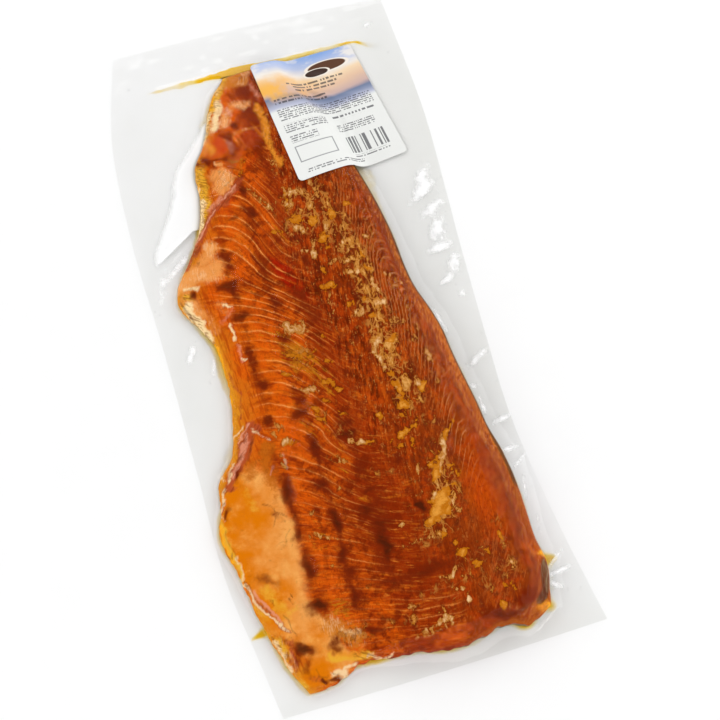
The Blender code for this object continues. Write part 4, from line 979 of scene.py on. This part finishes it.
# ---- Label -------------------------------------------------------------------------------------------------
# Glossy self-adhesive paper label, die cut with round corners and stuck over the tail end. It follows the
# film and creases where the fish drops to the flange. Its print is plain waves of colour, rows of dashes,
# bars and a box.
LABEL_W, LABEL_H, LABEL_RADIUS = 80.0, 100.0, 3.0
LABEL_AT, LABEL_TURN = (45.2, 153.6), math.radians(5.3)
STEP, SHEET_THICK, GLUE_GAP = 1.0, 0.22, 0.3
LABEL_CREASES = (
    (-5, 22, 14, 2.2, -16, 1.1), (4, 15, 10, 1.8, -38, 0.9), (-12, 6, 15, 2, 84, 0.8),
    (-4, -8, 18, 2.2, 96, 0.7), (8, -22, 16, 2, 78, 0.7), (-16, 33, 9, 1.8, 8, 0.7),
    (12, 29, 9, 1.8, -26, 0.7), (20, 10, 12, 1.8, -14, 0.5), (-24, 14, 10, 1.8, 12, 0.5))


def on_pack(a, b):
    """Label coordinates, across and up from its middle, to the plan. Creases take up more of the right."""
    a, b = a * (1 - 0.00084 * b) - 0.024 * b - 0.3, b * (1.013 - 0.00095 * a) + 0.6
    c, s = math.cos(LABEL_TURN), math.sin(LABEL_TURN)
    return LABEL_AT[0] + a * c - b * s, LABEL_AT[1] + a * s + b * c


bpy.context.view_layer.update()
na, nb = int(LABEL_W / STEP) + 1, int(LABEL_H / STEP) + 1
ground = np.empty((nb, na))
for j in range(nb):
    for i in range(na):
        x, y = on_pack(i * STEP - LABEL_W / 2, j * STEP - LABEL_H / 2)
        hit = film.ray_cast(((x - CENTRE[0]) * MM, (y - CENTRE[1]) * MM, 0.1), (0, 0, -1))[1]
        ground[j, i] = hit.z / MM
reach = np.pad(ground, 1, mode="edge")
ground = np.max([reach[j:j + nb, i:i + na] for j in range(3) for i in range(3)], axis=0)
sheet = ground.copy()
for _ in range(40):         # the paper smooths itself out but can't sink into the film
    padded = np.pad(sheet, 1, mode="edge")
    sheet = np.maximum(ground,
                       (padded[:-2, 1:-1] + padded[2:, 1:-1] + padded[1:-1, :-2] + padded[1:-1, 2:]) / 4)
net_a, net_b = np.meshgrid(np.arange(na) * STEP - LABEL_W / 2, np.arange(nb) * STEP - LABEL_H / 2)
sheet += bumps(LABEL_CREASES, net_a, net_b)

label, s, t = new_grid("paper_label", na - 1, nb - 1)
i, j = np.round(s * (na - 1)).astype(int), np.round(t * (nb - 1)).astype(int)
a, b = i * STEP - LABEL_W / 2, j * STEP - LABEL_H / 2
# The squares at the corners become quarter circles.
u = np.clip((np.abs(a) - LABEL_W / 2) / LABEL_RADIUS + 1, 0, 1)
v = np.clip((np.abs(b) - LABEL_H / 2) / LABEL_RADIUS + 1, 0, 1)
a = a - np.sign(a) * LABEL_RADIUS * u * (1 - np.sqrt(1 - v * v / 2))
b = b - np.sign(b) * LABEL_RADIUS * v * (1 - np.sqrt(1 - u * u / 2))
shape(label, *on_pack(a, b), sheet[j, i] + GLUE_GAP)
mark(label, {"print_across": a, "print_up": b})
solid = label.modifiers.new("sheet", "SOLIDIFY")
solid.thickness, solid.offset = SHEET_THICK * MM, 1.0
bpy.context.view_layer.objects.active = label
bpy.ops.object.modifier_apply(modifier="sheet")
bpy.ops.object.shade_smooth_by_angle(angle=math.radians(50))

# Coated white paper, printed by offset in soft colours above and by a black ribbon below.
PAPER_WHITE = "#e6e7e4"
SKY_HIGH = 52               # its colours follow one another over this height of the label, mm
tree = new_material(label, "printed_coated_paper")
a, b = (add("Attribute", out="Fac", attribute_name=name) for name in ("print_across", "print_up"))
flat_place = add("CombineXYZ", (a, b))
ripples = scaled(add("Math", (scaled(a, 0.085, 0.9),), operation="SINE"), 2.6, b)
wave = shifted(scaled(a, 0.05, ripples), speckle(flat_place, 18, 3, stretch=(0.5, 1)), 7)
sky = banded(add("Math", (wave, 1 / SKY_HIGH), operation="MULTIPLY", use_clamp=True), "LINEAR", (
    (0.06, PAPER_WHITE), (0.12, "#b9bccf"), (0.2, "#8992ad"), (0.27, "#6f7d9a"), (0.33, "#c8aba4"),
    (0.47, "#e0bda0"), (0.6, "#edd2ae"), (0.68, "#e9e2da"), (0.8, "#b9c3de"), (1.0, "#86a6dc")))


def inside_box(a0, a1, b0, b1, soft=0.15):
    return times(within(a, a0 - soft, a0 + soft, a1 - soft, a1 + soft),
                 within(b, b0 - soft, b0 + soft, b1 - soft, b1 + soft))


def inked(place, share):
    """1 for that share of the cells in which place lies, by chance, else 0."""
    chance = add("TexWhiteNoise", (place,), noise_dimensions="2D")
    return add("Math", (chance, share), operation="LESS_THAN")


def cell(value, size):
    return add("Math", (add("Math", (value, size), operation="DIVIDE"),), operation="FLOOR")


def rows_of_dashes(a0, a1, b0, b1, pitch, dash):
    """Rows of short dashes, with gaps here and there."""
    in_row = add("Math", (add("Math", (b, pitch), operation="DIVIDE"),), operation="FRACT")
    return times(inside_box(a0, a1, b0, b1), inked(add("CombineXYZ", (cell(a, dash), cell(b, pitch))), 0.7),
                 add("Math", (in_row, 0.5), operation="LESS_THAN"))


# a warm glow to the left of a pale sky, a slate shore, and two plain brown stones
glow = times(ramp_to(a, 16, -30), within(b, 10, 20, 26, 42))
printed = coats(
    sky,
    ("#f2b23e", glow, ramp_to(speckle(flat_place, 16, 3), 0.3, 0.6), 0.9),
    ("#efe9e0", ramp_to(speckle(flat_place, 14, 4, stretch=(0.5, 1)), 0.5, 0.62), ramp_to(b, 34, 40), 0.8))
for stone_a, stone_b, wide, high, code in ((16, 38, 15, 4.2, "#5b3a28"), (6.5, 34.5, 9, 3.0, "#3d2a22")):
    squares = [add("Math", (add("Math", (less(at, middle), size), operation="DIVIDE"), 2.0),
                   operation="POWER")
               for at, middle, size in ((a, stone_a, wide), (b, stone_b, high))]
    away = add("Math", (add("Math", squares),), operation="SQRT")
    printed = coats(printed, ("#efe6da", ramp_to(away, 1.22, 1.14)), (code, ramp_to(away, 1.03, 0.95)))
printed = paint(printed, PAPER_WHITE, ramp_to(wave, 3.5, 1.5))
bars = times(inside_box(4, 32, -38, -24), inked(add("CombineXYZ", (cell(a, 0.8), 5.0)), 0.55))
empty_box = times(inside_box(-34, -6, -37, -24), less(1.0, inside_box(-33.2, -6.8, -36.2, -24.8)))
DASHES = (      # left, right, lower and upper end of a block, from row to row, from dash to dash
    (-20, 24, 26.5, 29.5, 3.0, 1.1), (-16, 18, 20.5, 26, 3.0, 1.1), (-34, 6, 12, 18, 3.0, 0.9),
    (-35, 36, -2, 8, 1.7, 0.7), (-35, -4, -12, -5, 1.7, 0.7), (2, 34, -8, -4, 3.2, 1.3),
    (2, 30, -19, -12, 1.7, 0.7), (-34, -14, -21, -15, 1.8, 0.8), (5, 31, -41.6, -39.4, 2.2, 1.1),
    (-32, 10, -46.4, -43, 1.7, 0.8))
ink = most(bars, *(rows_of_dashes(*block) for block in DASHES))
printed = coats(printed, ("#3a3b42", ink, 0.8), ("#8b8c8e", empty_box, 0.9))
add("OutputMaterial", {"Surface": add("BsdfPrincipled", {
    "Base Color": printed, "Roughness": 0.35, "IOR": 1.45, "Specular IOR Level": 0.25})})
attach(label, "root")
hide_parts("label")

# ---- Studio ------------------------------------------------------------------------------------------------
# A white table between four long low softboxes, in a dim room, so that the film mirrors nothing bright from
# above.
bpy.ops.mesh.primitive_plane_add(size=6, location=(0, 0, -0.0003))
floor = bpy.context.object
floor.name = floor.data.name = "table_top"
tree = new_material(floor, "matt_white_table")
shade = paint("#f6f6f6", "#f3f3f3", speckle(add("TexCoord", out="Object"), 0.04, 2))
add("OutputMaterial", {"Surface": add("BsdfPrincipled", {
    "Base Color": shade, "Roughness": 0.9, "Specular IOR Level": 0.0})})

SOFTBOXES = (("right_softbox", (1.75, 0.1, 1.0), 3.2, 2.0, 41),
             ("left_softbox", (-1.75, 0.2, 1.0), 3.2, 2.0, 35),
             ("front_softbox", (0.0, -1.8, 1.0), 3.2, 2.0, 34),
             ("far_softbox", (0.0, 1.9, 0.9), 3.2, 1.8, 31))
for name, at, length, depth, power in SOFTBOXES:
    bpy.ops.object.light_add(type="AREA", location=at)
    lamp = bpy.context.object
    lamp.name = lamp.data.name = name
    lamp.data.shape, lamp.data.size, lamp.data.size_y, lamp.data.energy = "RECTANGLE", length, depth, power
    lamp.rotation_euler = (math.atan2(math.hypot(at[0], at[1]), at[2]), 0,
                           math.atan2(at[1], at[0]) + math.pi / 2)
    lamp.visible_camera = False
room = bpy.data.worlds.new("dim_room")
room.use_nodes = True
room.node_tree.nodes["Background"].inputs[0].default_value = (1, 1, 1, 1)
room.node_tree.nodes["Background"].inputs[1].default_value = 0.05
bpy.context.scene.world = room
bpy.context.scene.view_settings.view_transform = "Standard"

# Camera above the near side of the head cut, looking down at 70 degrees, with the roll that the picture has.
EYE = Vector((-81.811, -288.213, 754.106)) * MM
AIM = Vector((13.724, -32.963, 0)) * MM
ROLL = math.radians(4.13)
bpy.ops.object.camera_add(location=EYE)
camera = bpy.context.object
camera.data.lens, camera.data.sensor_width = 60, 36
camera.data.clip_start, camera.data.clip_end = 0.05, 20
camera.rotation_euler = (
    (AIM - EYE).to_track_quat("-Z", "Y").to_matrix() @ Matrix.Rotation(ROLL, 3, "Z")).to_euler()
bpy.context.scene.camera = camera
